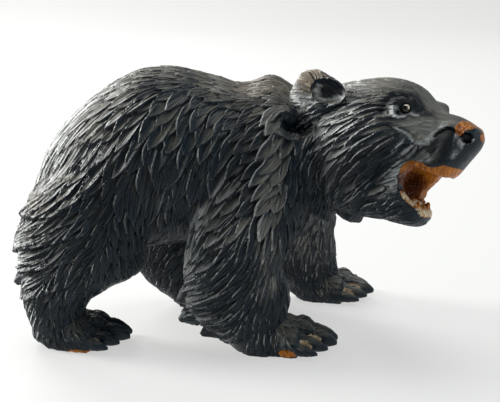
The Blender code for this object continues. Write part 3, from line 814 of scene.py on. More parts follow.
# Big folds under the fur, given for the right side:
# the run of each from root to tip, half its width, and how far its tip stands out
folds = [
    ([(-128, -62, 158), (-150, -54, 148), (-170, -38, 136), (-186, -18, 126)], 12, 3.4),
    ([(-120, -66, 142), (-146, -60, 134), (-170, -48, 122), (-190, -26, 110)], 12, 4.2),
    ([(-118, -68, 122), (-146, -64, 116), (-172, -54, 104), (-196, -36, 90)], 12, 4.8),
    ([(-124, -68, 102), (-150, -64, 96), (-174, -56, 86), (-197, -42, 70)], 12, 4.6),
    ([(-132, -68, 80), (-154, -64, 74), (-174, -58, 62), (-190, -46, 48)], 11, 3.4),
    ([(6, -84, 78), (-16, -78, 66), (-38, -70, 54), (-58, -61, 44)], 10, 3.0),
    ([(8, -82, 62), (-14, -76, 50), (-36, -68, 38), (-57, -61, 28)], 10, 3.2),
    ([(12, -80, 46), (-6, -74, 36), (-24, -68, 26), (-40, -61, 15)], 9, 3.0),
]
foldShape = {
    "between": 6,
    "narrowing": (0.75, 2.5),  # share of its width that a fold loses, and by which power
    "growth": 1.3,
    "across": (0.55, 0.45),
    "standing": 1.5,
    "wall": 1.6,
    "end": 0.95,
    "near": 60,
    "reach": 20,
}


def foldRise(points, normals):
    # a fold rises towards its tip and its lower edge, where it drops to the fold below
    loss, power = foldShape["narrowing"]
    level, slope = foldShape["across"]
    wall = foldShape["wall"]
    rise = np.zeros(len(points))
    for path, halfWidth, out in folds:
        for side in (1, -1):
            run = smoothRun([onSide(place, side) for place in path], foldShape["between"])
            near = np.abs(points - run.mean(0)).max(1) < foldShape["near"]
            where = points[near]
            away = np.linalg.norm(where[:, None] - run[None], axis=2)
            step = away.argmin(1)
            t = step / (len(run) - 1)
            tangents = unit(np.gradient(run, axis=0))
            offset = where - run[step]
            beyond = (offset * tangents[step]).sum(1)
            low = unit(np.cross(tangents[step], normals[near]))
            low *= -np.sign(low[:, 2:3])
            v = (offset * low).sum(1) / (halfWidth * (1 - loss * t**power))
            lift = t ** foldShape["growth"] * np.clip(level + slope * v, 0, 1)
            height = foldShape["standing"] * out * lift - wall * halfWidth * np.maximum(np.abs(v) - 1, 0)
            height -= wall * np.maximum(beyond - 1, 0) * (t > foldShape["end"])
            height[away.min(1) > foldShape["reach"]] = 0
            rise[near] = np.maximum(rise[near], height)
    return rise


faceLines = {
    "muzzleStep": [
        (80.5, 1), (77, 2.2), (73, 2), (68.5, -0.5), (65.5, -4.3),
        (64.1, -9.4), (62.7, -14.4), (57, -17), (50.5, -18.1), (44, -17.5),
    ],
    "stepDepth": 2.7,
    "stepFade": 13,
    "stepZone": {"side": (9, 6), "floor": (-34, 10), "back": (42, 8), "top": (6, 6)},  # edge, soft width
    "eyeSocket": ((41, 31.8, 9), (9.5, 3.4, 7.2), -8),
    "eyeGap": 0.35,
    "middle": 9,  # the lines stop this near the head's middle, and this far above or below it
    "height": 40,
    "grooves": [  # side view lines, half width, depth
        (
            [(26.5, 4), (26.6, 9.5), (28.5, 15.6), (32, 18.3), (36, 19.4), (41, 18), (46, 14.5), (50, 10)],
            4.2, 2.1,
        ),
        ([(32.5, -5.8), (36, -8.2), (40, -8.6), (44, -8.7), (48.3, -10), (50.7, -11.8)], 1.6, 1.1),
        ([(80.2, 0.5), (80.3, -7), (79.6, -12.5), (82, -19)], 1.4, 0.7),
        ([(69.9, -16.3), (67, -23), (63.2, -27.3)], 1.4, 0.9),
    ],
    "ridges": [
        ([(33, 8.5), (33.4, 6), (35.2, 2.6), (38.2, 0.3), (41.4, 1.2), (43.5, 4)], 2.0, 1.5),
        ([(45, 6.4), (48, 6.4), (51, 6)], 1.5, 0.7),
        ([(46.3, -14.5), (43.6, -19.5), (40, -26)], 1.4, 0.8),
        ([(51.2, -18), (47.5, -24), (44, -29)], 1.4, 0.8),
        ([(55.9, -17), (54.5, -24), (50.5, -29.5)], 1.4, 0.8),
    ],
    "wornAndLitLines": [  # side view lines, half width, how much is rubbed off, drawn pale as wear with a painted highlight
        ([(70.6, 1.2), (66.8, -1.3), (64.7, -4.5), (63.2, -9.5), (62, -14.5)], 0.9, 0.95),
        ([(34.2, 10.5), (34.4, 5.5), (36.6, 2), (39.7, 1.5), (43, 3.6)], 1.1, 0.9),
        (
            [(-28.9, 14.9), (-30.4, 11), (-29.6, 6.5), (-26.3, 3.6), (-21.1, 3.2), (-15.6, 5), (-10, 8.6)],
            1.2, 0.9,
        ),
        ([(42.4, 6.2), (46.6, 5.8), (51.6, 5.6)], 0.9, 0.8),
        ([(46.3, -14.5), (43.6, -19.5), (40, -26)], 0.8, 0.7),
        ([(51.2, -18), (47.5, -24), (44, -29)], 0.8, 0.7),
        ([(54.5, -18), (52, -24), (49, -29)], 0.7, 0.5),
        ([(39.4, -7.6), (45, -8.9), (48.4, -10.4), (52.7, -14.4), (57, -15.4), (61, -14.6)], 1.3, 0.7),
        ([(86.5, -10.5), (85, -16), (82.5, -21)], 2.4, 0.4),
        ([(60, -29.5), (64, -25), (67.5, -20.5)], 0.7, 0.5),
        ([(84.9, -5.4), (86.6, -7.8), (89.4, -8.9)], 0.9, 0.95),
    ],
}


def onFaceSide(local):
    return (np.abs(local[:, 1]) > faceLines["middle"]) & (np.abs(local[:, 2]) < faceLines["height"])


def faceShaped(points):
    # the sides of the muzzle lie lower than the plane of the cheek, behind a crisp step
    local = inHeadFrame(points)
    behind = beside(faceLines["muzzleStep"], local)
    sink = np.where(behind > 0, np.exp(-np.maximum(behind, 0) / faceLines["stepFade"]), 0)
    zone = faceLines["stepZone"]
    sink *= ramp(np.abs(local[:, 1]), *zone["side"]) * ramp(local[:, 2], *zone["floor"])
    sink *= ramp(local[:, 0], *zone["back"]) * (1 - ramp(local[:, 2], *zone["top"]))
    rise = -faceLines["stepDepth"] * sink
    onFace = onFaceSide(local)
    for name, way in (("grooves", -1), ("ridges", 1)):
        for line, halfWidth, depth in faceLines[name]:
            rise += way * depth * onFace * np.clip(1 - np.abs(beside(line, local)) / halfWidth, 0, 1)
    return rise


def evened(mesh, values, rounds):
    # values spread over the skin from each point to its neighbours
    ends = np.empty(2 * len(mesh.edges), np.int32)
    mesh.edges.foreach_get("vertices", ends)
    one, other = ends.reshape(-1, 2).T
    count = np.bincount(ends, minlength=len(values))
    for _ in range(rounds):
        total = np.bincount(one, values[other], len(values)) + np.bincount(other, values[one], len(values))
        values = 0.5 * values + 0.5 * total / np.maximum(count, 1)
    return values


def thinTips(points):
    # less is cut away or left standing on the thin tufts
    reach, least = 24, 0.15
    near = np.full(len(points), np.inf)
    for _, _, tip, *_ in tufts:
        near = np.minimum(near, ((points - tip) ** 2).sum(1))
    return np.clip(np.sqrt(near) / reach, least, 1)


shapeByTouches(bear.data)
base, baseNormals = coordinates(bear.data)
along, size = furAt(base, baseNormals)
locks = placeLocks(base, baseNormals, along, size)
height, winner = highestLock(locks, base, along, baseNormals)
relief = np.maximum(np.where(winner >= 0, height, -9), fur["leastDepth"] * size[:, 2])
relief -= fur["sunk"] * fur["lift"] * size[:, 2]
relief += foldRise(base, baseNormals) + faceShaped(base)
relief *= thinTips(base)
carved = base + baseNormals * relief[:, None]
print("fur cut:", len(locks["place"]), "locks")

share = placing["share"]
middle = np.array((*placing["middle"], placing["ground"]))
eyes = {}
for side, name in ((-1, "eye_right"), (1, "eye_left")):
    low, high = (np.array(corner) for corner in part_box(name))
    eyes[name] = {"centre": 0.5 * (low + high), "radius": 0.5 * (high - low).max(), "side": side}
scoops = [  # centre, radii and turn, then the way in from the left side
    (*head["earCup"], (-0.15, -1, 0)),
    (*faceLines["eyeSocket"], (0, -1, 0)),
    (*head["nostril"], 0, (-0.7, -0.7, 0)),
]
for side in (-1, 1):
    for centre, radii, turn, inward in scoops:
        carved = scoop(carved, onSide(centre, side), radii, turn * side, onSide(inward, side))
for eye in eyes.values():
    inward = np.array(turnedHead.to_3x3() @ Vector((0, -eye["side"], 0)))
    centre = eye["centre"] / share + middle
    carved = hollow(carved, centre, np.full(3, eye["radius"] / share + faceLines["eyeGap"]), inward)
relief = ((carved - base) * baseNormals).sum(1)
standing = relief - evened(bear.data, relief, fur["evenedRounds"])
putBack(bear.data, carved)


def standFlat(obj):
    mesh = bmesh.new()
    mesh.from_mesh(obj.data)
    everything = mesh.verts[:] + mesh.edges[:] + mesh.faces[:]
    plane = {"plane_co": (0, 0, placing["ground"]), "plane_no": (0, 0, 1)}
    bmesh.ops.bisect_plane(mesh, geom=everything, dist=1e-4, clear_inner=True, **plane)
    bmesh.ops.holes_fill(mesh, edges=[edge for edge in mesh.edges if edge.is_boundary])
    bmesh.ops.triangulate(mesh, faces=mesh.faces)
    mesh.to_mesh(obj.data)
    mesh.free()


standFlat(bear)
fewer = bear.modifiers.new("fewer faces", "DECIMATE")
fewer.ratio = body["faces"] / len(bear.data.polygons)
settle(bear)
print("wood carved:", len(bear.data.polygons), "faces")


def nearestOf(cloud, places):
    # the index of the cloud's point nearest to each place
    tree = kdtree.KDTree(len(cloud))
    for i, point in enumerate(cloud):
        tree.insert(point, i)
    tree.balance()
    return np.array([tree.find(place)[1] for place in places])


def addAttribute(mesh, name, kind, domain, values):
    made = mesh.attributes.new(name, kind, domain)
    made.data.foreach_set("vector" if kind == "FLOAT_VECTOR" else "value", values.astype(np.float32).ravel())


# Each face belongs to one lock; its corners know where they lie on that lock
faces = np.empty(3 * len(bear.data.polygons), np.int32)
bear.data.polygons.foreach_get("vertices", faces)
faces = faces.reshape(-1, 3)
points, normals = coordinates(bear.data)
middles = points[faces].mean(1)
nearest = nearestOf(base, middles)
faceLock = highestLock(locks, middles, along[nearest], baseNormals[nearest])[1]
corner = points[faces].reshape(-1, 3)
cornerLock = np.repeat(faceLock, 3)
cornerPlace = onLock(locks, cornerLock, corner, along[np.repeat(nearest, 3)])
onLeaf = np.stack([*cornerPlace, locks["chance"][cornerLock]], axis=1)
leafSize = np.stack([locks[name][cornerLock] for name in ("halfLength", "halfWidth", "depth")], axis=1)
addAttribute(bear.data, "onLeaf", "FLOAT_VECTOR", "CORNER", onLeaf)
addAttribute(bear.data, "leafSize", "FLOAT_VECTOR", "CORNER", leafSize)

# How far each point stands out from the skin round it, in millimetres
addAttribute(bear.data, "standing", "FLOAT", "POINT", standing[nearestOf(carved, points)])

# Where the stain was left off: inside the mouth, on the lip and the nose, and at old chips
local = inHeadFrame(points)
bareWood = {
    "mouth": [  # outline in the head's side view: forward, up
        (46.5, -38), (49.5, -32.8), (52.8, -29.6), (57.4, -29), (62.3, -29.4), (67, -31.3), (73.3, -31.5),
        (79.2, -29), (83.1, -27.8), (86, -28.4), (108, -30), (108, -76), (66.6, -72.4), (64.2, -68),
        (59.4, -64), (54.1, -62), (50.5, -56.5), (48.2, -50.5), (46.8, -44),
    ],
    "between": {"depth": 7, "left": 27, "right": 20, "soft": 4, "floor": (-66, 3)},
    "throat": ((38, 0, -48), (20, 20, 18)),
    "mouthShade": [((44, -4, -50), (13, 30, 17), 1.0), ((47, -24, -48), (7, 10, 10), 1.0)],
    "nose": [
        ((83.5, -13.5, 2), (4.6, 6, 6.6)),
        ((87, -9, 6), (7, 8, 4.6)),
        ((90, 2, 7.4), (8, 7, 4)),
        ((95.5, 5.5, 2.5), (5, 4.6, 5)),
        ((97.5, -1, -1.5), (4, 4.6, 3.6)),
    ],
    "chips": [  # in the frame of the whole bear
        ((31, -83, 9.6), (7, 6, 3)),
        ((-141, -66, 6), (11, 10, 2.4)),
    ],
    "brokenTip": ((43, 10.5, 9), (5, 5, 8)),  # in the paw's frame
}
# lighter patches: the first two paint light onto the far front leg and its paw, the others make patches
# paler
lighterSpots = [  # in the frame of the whole bear: centre, reach, how much
    ((62, 70, 84), (60, 50, 62), 0.95),
    ((86, 80, 22), (40, 34, 24), 0.7),
    ((40, -60, 26), (30, 30, 16), 0.3),
    ((-18, -72, 112), (34, 24, 18), 0.3),
    ((-6, -12, 223), (46, 50, 22), 0.7),
    ((44, -44, 228), (18, 14, 15), 0.62),
    ((54, -46, 196), (20, 22, 22), 0.3),
]
earthySpots = [  # browner dust, in the frame of the whole bear
    ((50, -46, 230), (22, 18, 16), 1.0),
    ((8, -12, 224), (40, 40, 16), 0.55),
    ((-172, -40, 128), (18, 22, 14), 0.45),
    ((-182, -44, 98), (16, 22, 14), 0.45),
]
# painted shade round the eye, in the ear's ditch and cup, under the head, on the cheek and in the nostril;
# the spot on the ear's outside darkens it against the painted sheen
darkSpots = [  # in the head's frame, on both sides: centre, reach, how much
    ((41, -31, 10), (9, 12, 8.5), 1.0),
    ((-39, -43, -17), (9, 10, 9), 0.6),
    ((2, -44, -50), (30, 26, 26), 0.55),
    ((27, -38, -36), (20, 20, 18), 0.5),
    ((92.5, -9, -7), (4.5, 6, 4), 1.0),
    ((-42, -48, 6), (12, 14, 10), 0.5),
    ((-20, -47, 11), (7.5, 9, 6.5), 0.9),
]
bands = {  # lines in the side view of the whole bear: run, half width, how much
    # paler bands: down the shoulder, and a painted sheen down the back of the rump
    "dustAndLit": [
        (
            [
                (29, 222), (18, 206), (18, 186), (17.5, 167), (17, 148),
                (14.5, 125), (14.5, 106), (16, 84), (13, 63),
            ],
            14, 0.66,
        ),
        (
            [(-112, 222), (-130, 208), (-145, 190), (-156, 170), (-166, 146), (-176, 122), (-186, 100)],
            20, 0.42,
        ),
    ],
    # painted shade behind the shoulder and in front of the thigh
    "dark": [
        ([(-8, 203), (-8, 182), (-11, 159), (-18, 137), (-29, 115)], 14, 0.5),
        ([(-111, 186), (-111, 168), (-117, 144), (-121, 120), (-125, 95)], 11, 0.45),
    ],
}
faceZones = {  # outlines in the side view of the head: paler grey zones, and painted shade in the recess
    "grey": [
        [
            (32, -7), (39, -6.6), (45, -7.6), (48.5, -9.2), (53, -13.5), (58, -14.2),
            (62.5, -13.4), (63.6, -9), (65.2, -4.2), (67.5, -0.6), (71.5, 2.4), (78, 5),
            (76, 9), (64, 8), (55, 7.5), (50, 4), (44, 0.5), (36, -1.5),
        ],
        [
            (34, 24), (38, 22.5), (44, 19.5), (49.5, 14.5), (54, 9.5), (66, 9),
            (72, 11), (62, 16), (54, 20), (44, 27), (36, 29),
        ],
    ],
    "greyness": [0.75, 0.6],
    "recess": [
        (69, -0.6), (72.5, 1.8), (80, 4), (80.4, -6), (80.2, -13), (81, -20), (79, -28.5),
        (68.5, -31), (64.5, -23.5), (60, -19), (63.4, -14.8), (64.6, -9.6), (66, -4.6),
    ],
    "browLine": [
        (27.5, 5), (27.6, 11), (29.5, 16.5), (33, 19.8), (38.5, 19.8), (43.5, 17), (47.5, 13), (52, 9),
    ],
    "browWidth": 4.6,
    "browShade": 0.9,
    "greyEdge": 2,  # how soft the zones' edges are
    "recessEdge": 1.2,
}
paleWood = {
    "jaw": [(50.3, -51), (52.6, -56.2), (54.1, -60.5), (57.4, -62.7), (61, -65), (64.2, -67.8), (66, -71)],
    "jawWidth": 1.3,
    "jawTop": -40,
    "jawLeft": 4,
    "chin": ((65, 0, -69.5), (3.6, 14, 3.4)),
    "clawGap": ((39, 11), (9, 4.4, 6.5)),  # forward and up in the paw's frame, then its radii
    "hindGap": 0.6,  # as much of them on the hind paws
}


def insideOutline(outline, points):
    # distance from a closed outline drawn in the side view: positive inside
    x, z = points[:, 0], points[:, 2]
    inside = np.zeros(len(x), bool)
    best = np.full(len(x), np.inf)
    for (x0, z0), (x1, z1) in zip(outline, outline[1:] + outline[:1]):
        runX, runZ = x1 - x0, z1 - z0
        t = np.clip(((x - x0) * runX + (z - z0) * runZ) / (runX**2 + runZ**2), 0, 1)
        best = np.minimum(best, np.hypot(x - x0 - t * runX, z - z0 - t * runZ))
        crosses = (z0 > z) != (z1 > z)
        inside ^= crosses & (x < x0 + (z - z0) * runX / (runZ or 1e-9))
    return np.where(inside, best, -best)


def inSpot(spot, where):
    # about the distance in from the edge of a rounded spot: negative outside
    centre, radii = spot
    return (1 - np.sqrt((((where - centre) / radii) ** 2).sum(1))) * min(radii)


def softSpots(spots, where, firm=1.5):
    # the most that any of these soft-edged spots gives each point
    value = np.zeros(len(where))
    for centre, radii, much in spots:
        far = (((where - centre) / radii) ** 2).sum(1)
        value = np.maximum(value, much * np.clip(firm - firm * far, 0, 1))
    return value


def softBands(lines, where):
    # the same for soft-edged bands along lines in the side view
    value = np.zeros(len(where))
    for line, halfWidth, much in lines:
        near = np.abs(beside(line, where))
        value = np.maximum(value, much * np.clip(1.8 - 1.8 * near / halfWidth, 0, 1))
    return value


def inPaw(foot, points):
    # points in the frame of one paw: forward, left, up
    x, y, heading = paw["feet"][foot]
    turn = math.radians(heading)
    forward = (points[:, 0] - x) * math.cos(turn) + (points[:, 1] - y) * math.sin(turn)
    left = (points[:, 1] - y) * math.cos(turn) - (points[:, 0] - x) * math.sin(turn)
    return np.stack([forward, left, points[:, 2] - placing["ground"]], axis=1)


# Between the jaws the bare wood starts farther back than on the lips
jaws = bareWood["between"]
widest = np.where(local[:, 1] > 0, jaws["left"], jaws["right"])
deeper = jaws["depth"] * ramp(widest - np.abs(local[:, 1]), 0, jaws["soft"])
deeper *= ramp(local[:, 2], *jaws["floor"])
inMouth = local.copy()
inMouth[:, 0] += deeper
bare = insideOutline(bareWood["mouth"], inMouth)
for spot in (bareWood["throat"], *bareWood["nose"]):
    bare = np.maximum(bare, inSpot(spot, local))
for spot in bareWood["chips"]:
    bare = np.maximum(bare, inSpot(spot, points))
bare = np.maximum(bare, inSpot(bareWood["brokenTip"], inPaw(paw["brokenClaw"][0], points)))
farthest = 5  # from an edge, where its distance no longer matters
addAttribute(bear.data, "bareWood", "FLOAT", "POINT", np.clip(bare, -farthest, farthest))
onJaw = (local[:, 2] < paleWood["jawTop"]) & (local[:, 1] < paleWood["jawLeft"])
pale = np.where(onJaw, paleWood["jawWidth"] - np.abs(beside(paleWood["jaw"], local)), -farthest)
pale = np.maximum(pale, inSpot(paleWood["chin"], local))
(gapForward, gapUp), gapRadii = paleWood["clawGap"]
for foot in paw["feet"]:
    onPaw = inPaw(foot, points)
    reach = np.array(gapRadii) * (paleWood["hindGap"] if foot.endswith("Hind") else 1)
    for toe in range(paw["toes"] - 1):
        across, back, big = betweenToes(toe)
        gap = (gapForward - back, across * paw["spread"], gapUp * big)
        pale = np.maximum(pale, inSpot((gap, reach), onPaw))
addAttribute(bear.data, "paleWood", "FLOAT", "POINT", np.clip(pale, -farthest, farthest))
# painted shade deep inside the mouth
addAttribute(bear.data, "mouthShade", "FLOAT", "POINT", softSpots(bareWood["mouthShade"], local, 1.6))
onFace = onFaceSide(local)
wornAndLitLine = np.zeros(len(points))
for line, halfWidth, much in faceLines["wornAndLitLines"]:
    inside = ramp(halfWidth - np.abs(beside(line, local)), 0, 0.4 * halfWidth + 0.2)
    wornAndLitLine = np.maximum(wornAndLitLine, much * inside * onFace)
addAttribute(bear.data, "wornAndLitLine", "FLOAT", "POINT", wornAndLitLine)
addAttribute(bear.data, "earthy", "FLOAT", "POINT", softSpots(earthySpots, points))
# paler patches, painted light on the far leg and a painted sheen down the rump, and the grey face zones
dustAndLit = np.maximum(softSpots(lighterSpots, points), softBands(bands["dustAndLit"], points))
for outline, much in zip(faceZones["grey"], faceZones["greyness"]):
    inside = ramp(insideOutline(outline, local), 0, faceZones["greyEdge"])
    dustAndLit = np.maximum(dustAndLit, much * inside * (np.abs(local[:, 2]) < faceLines["height"]))
addAttribute(bear.data, "dustAndLit", "FLOAT", "POINT", dustAndLit)
# painted shade from spots, bands, the muzzle's recess and the brow's groove, with darker stain on the ear
mirrored = np.stack([local[:, 0], -np.abs(local[:, 1]), local[:, 2]], axis=1)
dark = np.maximum(softSpots(darkSpots, mirrored), softBands(bands["dark"], points))
recess = ramp(insideOutline(faceZones["recess"], local), 0, faceZones["recessEdge"])
brow = np.clip(2 - 2 * np.abs(beside(faceZones["browLine"], local)) / faceZones["browWidth"], 0, 1)
dark = np.maximum(dark, onFace * recess)
dark = np.maximum(dark, faceZones["browShade"] * onFace * brow)
addAttribute(bear.data, "paintedShadeAndStain", "FLOAT", "POINT", dark)

toRow = Matrix.Scale(share, 4) @ Matrix.Translation(-Vector(middle))
bear.data.transform(toRow)
shadeSmooth(bear.data)
bear.data.set_sharp_from_angle(angle=math.radians(body["sharp"]))
bear.data.update()


def nodeAdder(tree):
    # add("Mix", {socket: value or another node's output}, setting=...) in this node tree
    def add(kind, inputs=None, **settings):
        made = tree.nodes.new("ShaderNode" + kind)
        for key, value in settings.items():
            setattr(made, key, value)
        for key, value in (inputs or {}).items():
            if isinstance(value, bpy.types.NodeSocket):
                tree.links.new(value, made.inputs[key])
            else:
                made.inputs[key].default_value = value
        return made

    return add


def reckon(add, operation, a, b=0.0, clamp=False):
    return add("Math", {0: a, 1: b}, operation=operation, use_clamp=clamp).outputs[0]


def plus(add, a, b):
    return reckon(add, "ADD", a, b)


def minus(add, a, b):
    return reckon(add, "SUBTRACT", a, b)


def times(add, a, b, clamp=False):
    return reckon(add, "MULTIPLY", a, b, clamp)


def stretch(add, value, low, high, toLow=0.0, toHigh=1.0):
    inputs = {"Value": value, "From Min": low, "From Max": high, "To Min": toLow, "To Max": toHigh}
    return add("MapRange", inputs, interpolation_type="SMOOTHSTEP").outputs[0]


def mottled(add, place, scale, detail, low, high, roughness=0.5):
    inputs = {"Vector": place, "Scale": scale, "Detail": detail, "Roughness": roughness}
    return stretch(add, add("TexNoise", inputs).outputs["Fac"], low, high)


def onSkin(add, name):
    # a value that the mesh carries
    return add("Attribute", attribute_name=name).outputs["Fac"]


def blend(add, factor, a, b):
    return add("Mix", {0: factor, 6: a, 7: b}, data_type="RGBA").outputs[2]


def emptyMaterial(name):
    made = bpy.data.materials.new(name)
    made.use_nodes = True
    made.node_tree.nodes.clear()
    return made, nodeAdder(made.node_tree)


def stainedWood():
    # black stain over carved wood, worn on the ridges, dust and painted light on top, a painted sheen on
    # what faces back, painted shade in the cuts, bare and lacquered in the mouth
    made, add = emptyMaterial("stainedCarvedWood")
    look = {
        "stain": (0.0018, 0.0062, 0.0115, 1),
        "stainLight": (0.0085, 0.0195, 0.029, 1),
        "dustAndLight": (0.14, 0.128, 0.1, 1),
        "paintedSheenAndWornEdge": (0.62, 0.63, 0.61, 1),
        "greyedAndLit": (0.3, 0.292, 0.268, 1),
        "earth": (0.2, 0.15, 0.09, 1),
        "ridge": (0.3, 0.305, 0.3, 1),
        "paintedShadeColour": (0.0012, 0.002, 0.003, 1),
        "bareDark": (0.075, 0.013, 0.0015, 1),
        "bareLight": (0.62, 0.2, 0.008, 1),
        "pale": (0.68, 0.55, 0.37, 1),
        "paleDark": (0.42, 0.27, 0.13, 1),
    }
    place = add("TexCoord").outputs["Object"]
    leaf = add("SeparateXYZ", {0: add("Attribute", attribute_name="onLeaf").outputs["Vector"]})
    size = add("SeparateXYZ", {0: add("Attribute", attribute_name="leafSize").outputs["Vector"]})
    u, w, chance = leaf.outputs
    halfLength, halfWidth, depth = size.outputs
    standing = onSkin(add, "standing")
    grain = mottled(add, place, 700.0, 3.0, 0.3, 0.7)
    mottle = mottled(add, place, 30.0, 5.0, 0.3, 0.7)

    # distance in from the lock's edge, in millimetres
    early, power = fur["taper"]
    tipward = reckon(add, "DIVIDE", plus(add, u, early), 1 + early, clamp=True)
    taper = minus(add, 1.0, reckon(add, "POWER", tipward, power))
    inward = times(add, minus(add, taper, reckon(add, "ABSOLUTE", w)), halfWidth)
    furred = stretch(add, depth, 0.25, 1.2)
    edge = times(add, stretch(add, inward, 0.75, 0.05), furred)

    # fine gouge lines along each lock
    bow = times(add, times(add, u, u), 0.5)
    across = plus(add, times(add, times(add, w, halfWidth), 0.6), bow)
    lengthways = times(add, times(add, u, halfLength), 0.03)
    lines = add("CombineXYZ", {0: across, 1: lengthways, 2: times(add, chance, 60.0)}).outputs[0]
    stripes = mottled(add, lines, 1.0, 1.0, 0.34, 0.66, 0.4)

    # black stain, a little lighter in streaks and patches
    tone = plus(add, times(add, stripes, 0.6), times(add, chance, 0.4))
    tone = times(add, tone, plus(add, times(add, mottle, 0.5), 0.5))
    colour = blend(add, tone, look["stain"], look["stainLight"])

    # dust and painted light on what faces up or back towards the lights, less of it on the left side
    facing = add("SeparateXYZ", {0: add("NewGeometry").outputs["Normal"]})
    sheenSide = stretch(add, facing.outputs[1], 0.45, -0.15, 0.25, 1.0)
    facingBackLights = times(add, times(add, facing.outputs[0], -0.75), sheenSide)
    facingTheLights = plus(add, times(add, facing.outputs[2], 0.9), facingBackLights)
    dustAndLit = onSkin(add, "dustAndLit")
    litAndDusty = plus(add, plus(add, facingTheLights, dustAndLit), times(add, mottle, 0.35))
    dustAndLight = times(add, stretch(add, litAndDusty, 0.4, 1.1), stretch(add, stripes, 0.0, 1.0, 0.5, 1.0))
    # painted sheen: a silver reflection of the lights behind, on what faces back
    paintedSheen = times(add, stretch(add, facing.outputs[0], -0.2, -0.75), sheenSide)
    dustAndSheenColour = blend(add, paintedSheen, look["dustAndLight"], look["paintedSheenAndWornEdge"])
    # paler grey where that value is high: grey patches, and painted light on the far front leg
    dustAndSheenColour = blend(add, stretch(add, dustAndLit, 0.45, 0.95), dustAndSheenColour, look["greyedAndLit"])
    dustAndSheenColour = blend(add, times(add, onSkin(add, "earthy"), 0.9), dustAndSheenColour, look["earth"])
    colour = blend(add, times(add, dustAndLight, 0.9), colour, dustAndSheenColour)

    # painted shade in the cuts and in the shaded zones, worn pale on the edges
    paintedShadeAndStain = onSkin(add, "paintedShadeAndStain")
    colour = blend(add, times(add, paintedShadeAndStain, 0.85), colour, look["paintedShadeColour"])
    colour = blend(add, stretch(add, standing, 0.1, -1.1), colour, look["paintedShadeColour"])
    rubbed = times(add, stretch(add, standing, 0.3, 1.3), stretch(add, mottle, 0.2, 0.85, 0.25, 1.0))
    wornAndLit = times(add, plus(add, times(add, edge, 0.75), 0.15), rubbed, clamp=True)
    # the wear is drawn paler where the skin faces the lights and fainter in the painted shade: painted light
    # over the wear
    wornAndLit = times(add, wornAndLit, stretch(add, plus(add, facingTheLights, dustAndLit), -0.35, 0.75, 0.16, 1.0))
    wornAndLit = times(add, wornAndLit, stretch(add, paintedShadeAndStain, 0.3, 1.0, 1.0, 0.1))
    colour = blend(add, wornAndLit, colour, look["ridge"])
    # worn lines on the face, in the sheen colour: wear with a painted highlight
    line = times(add, onSkin(add, "wornAndLitLine"), stretch(add, plus(add, grain, mottle), 0.3, 1.2, 0.4, 1.0))
    colour = blend(add, times(add, line, 0.85), colour, look["paintedSheenAndWornEdge"])

    # lacquered bare wood with upright strokes, and cream wood
    bareness = plus(add, onSkin(add, "bareWood"), times(add, minus(add, mottle, 0.5), 1.2))
    bare = stretch(add, bareness, -0.15, 0.2)
    upright = add("Mapping", {"Vector": place, "Scale": (420.0, 420.0, 45.0)}).outputs[0]
    strokes = mottled(add, upright, 1.0, 3.0, 0.32, 0.68)
    varnish = plus(add, plus(add, times(add, strokes, 0.4), times(add, mottle, 0.4)), 0.12)
    # the varnish is darkened by painted shade in its hollows and deep in the mouth
    varnish = times(add, varnish, stretch(add, standing, -2.5, 0.4, 0.35, 1.0))
    varnish = times(add, varnish, stretch(add, onSkin(add, "mouthShade"), 0.0, 1.0, 1.0, 0.12))
    colour = blend(add, bare, colour, blend(add, varnish, look["bareDark"], look["bareLight"]))
    paleness = plus(add, onSkin(add, "paleWood"), times(add, minus(add, grain, 0.5), 0.9))
    pale = stretch(add, paleness, -0.1, 0.5)
    colour = blend(add, pale, colour, blend(add, grain, look["paleDark"], look["pale"]))

    gouged = times(add, stripes, stretch(add, depth, 0.1, 1.4, 0.12, 1.0))
    height = plus(add, gouged, times(add, grain, 0.1))
    height = plus(add, height, times(add, times(add, strokes, bare), 0.7))
    bump = add("Bump", {"Height": height, "Distance": 0.0012, "Strength": 1.0}).outputs[0]
    roughness = plus(add, times(add, dustAndLight, 0.25), stretch(add, grain, 0.0, 1.0, 0.34, 0.44))
    roughness = minus(add, roughness, times(add, bare, 0.1))
    inputs = {"Base Color": colour, "Roughness": roughness, "Normal": bump, "Specular IOR Level": 0.3}
    add("OutputMaterial", {0: add("BsdfPrincipled", inputs).outputs[0]})
    return made


bear.data.materials.clear()
bear.data.materials.append(stainedWood())
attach(bear, "root")
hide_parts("bear")

# The glass eyes, each with a dark pupil in a lighter iris and a painted glint
glassEye = {
    "segments": 64,
    "rings": 40,
    "forward": 0.35,
    "up": 0.1,
    "glint": (0.95, 1, 0.75),
    "pupil": (0.001, 0.001, 0.001, 1),
    "iris": (0.004, 0.003, 0.003, 1),
    "fleck": (0.02, 0.014, 0.01, 1),
    "glintColour": (0.6, 0.5, 0.4, 1),
}


def eyeGlass():
    made, add = emptyMaterial("eyeGlass")
    fromPupil = onSkin(add, "fromPupil")
    place = add("TexCoord").outputs["Object"]
    flecks = add("TexNoise", {"Vector": place, "Scale": 2500.0, "Detail": 2.0}).outputs["Fac"]
    iris = blend(add, flecks, glassEye["iris"], glassEye["fleck"])
    colour = blend(add, stretch(add, fromPupil, 0.5, 0.56), glassEye["pupil"], iris)
    glint = stretch(add, onSkin(add, "fromGlint"), 0.62, 0.5)
    glint = times(add, glint, stretch(add, fromPupil, 0.5, 0.58))
    colour = blend(add, glint, colour, glassEye["glintColour"])
    coat = {"Coat Weight": 0.3, "Coat Roughness": 0.02}
    inputs = {"Base Color": colour, "Roughness": 0.06, "Specular IOR Level": 0.3, **coat}
    add("OutputMaterial", {0: add("BsdfPrincipled", inputs).outputs[0]})
    return made


def angleFrom(way, around):
    # the angle between a way in the head's frame and each point round the bead's middle
    turned = turnedHead.to_3x3() @ Vector(way)
    turned.normalize()
    return np.arccos(np.clip(unit(around) @ np.array(turned), -1, 1))


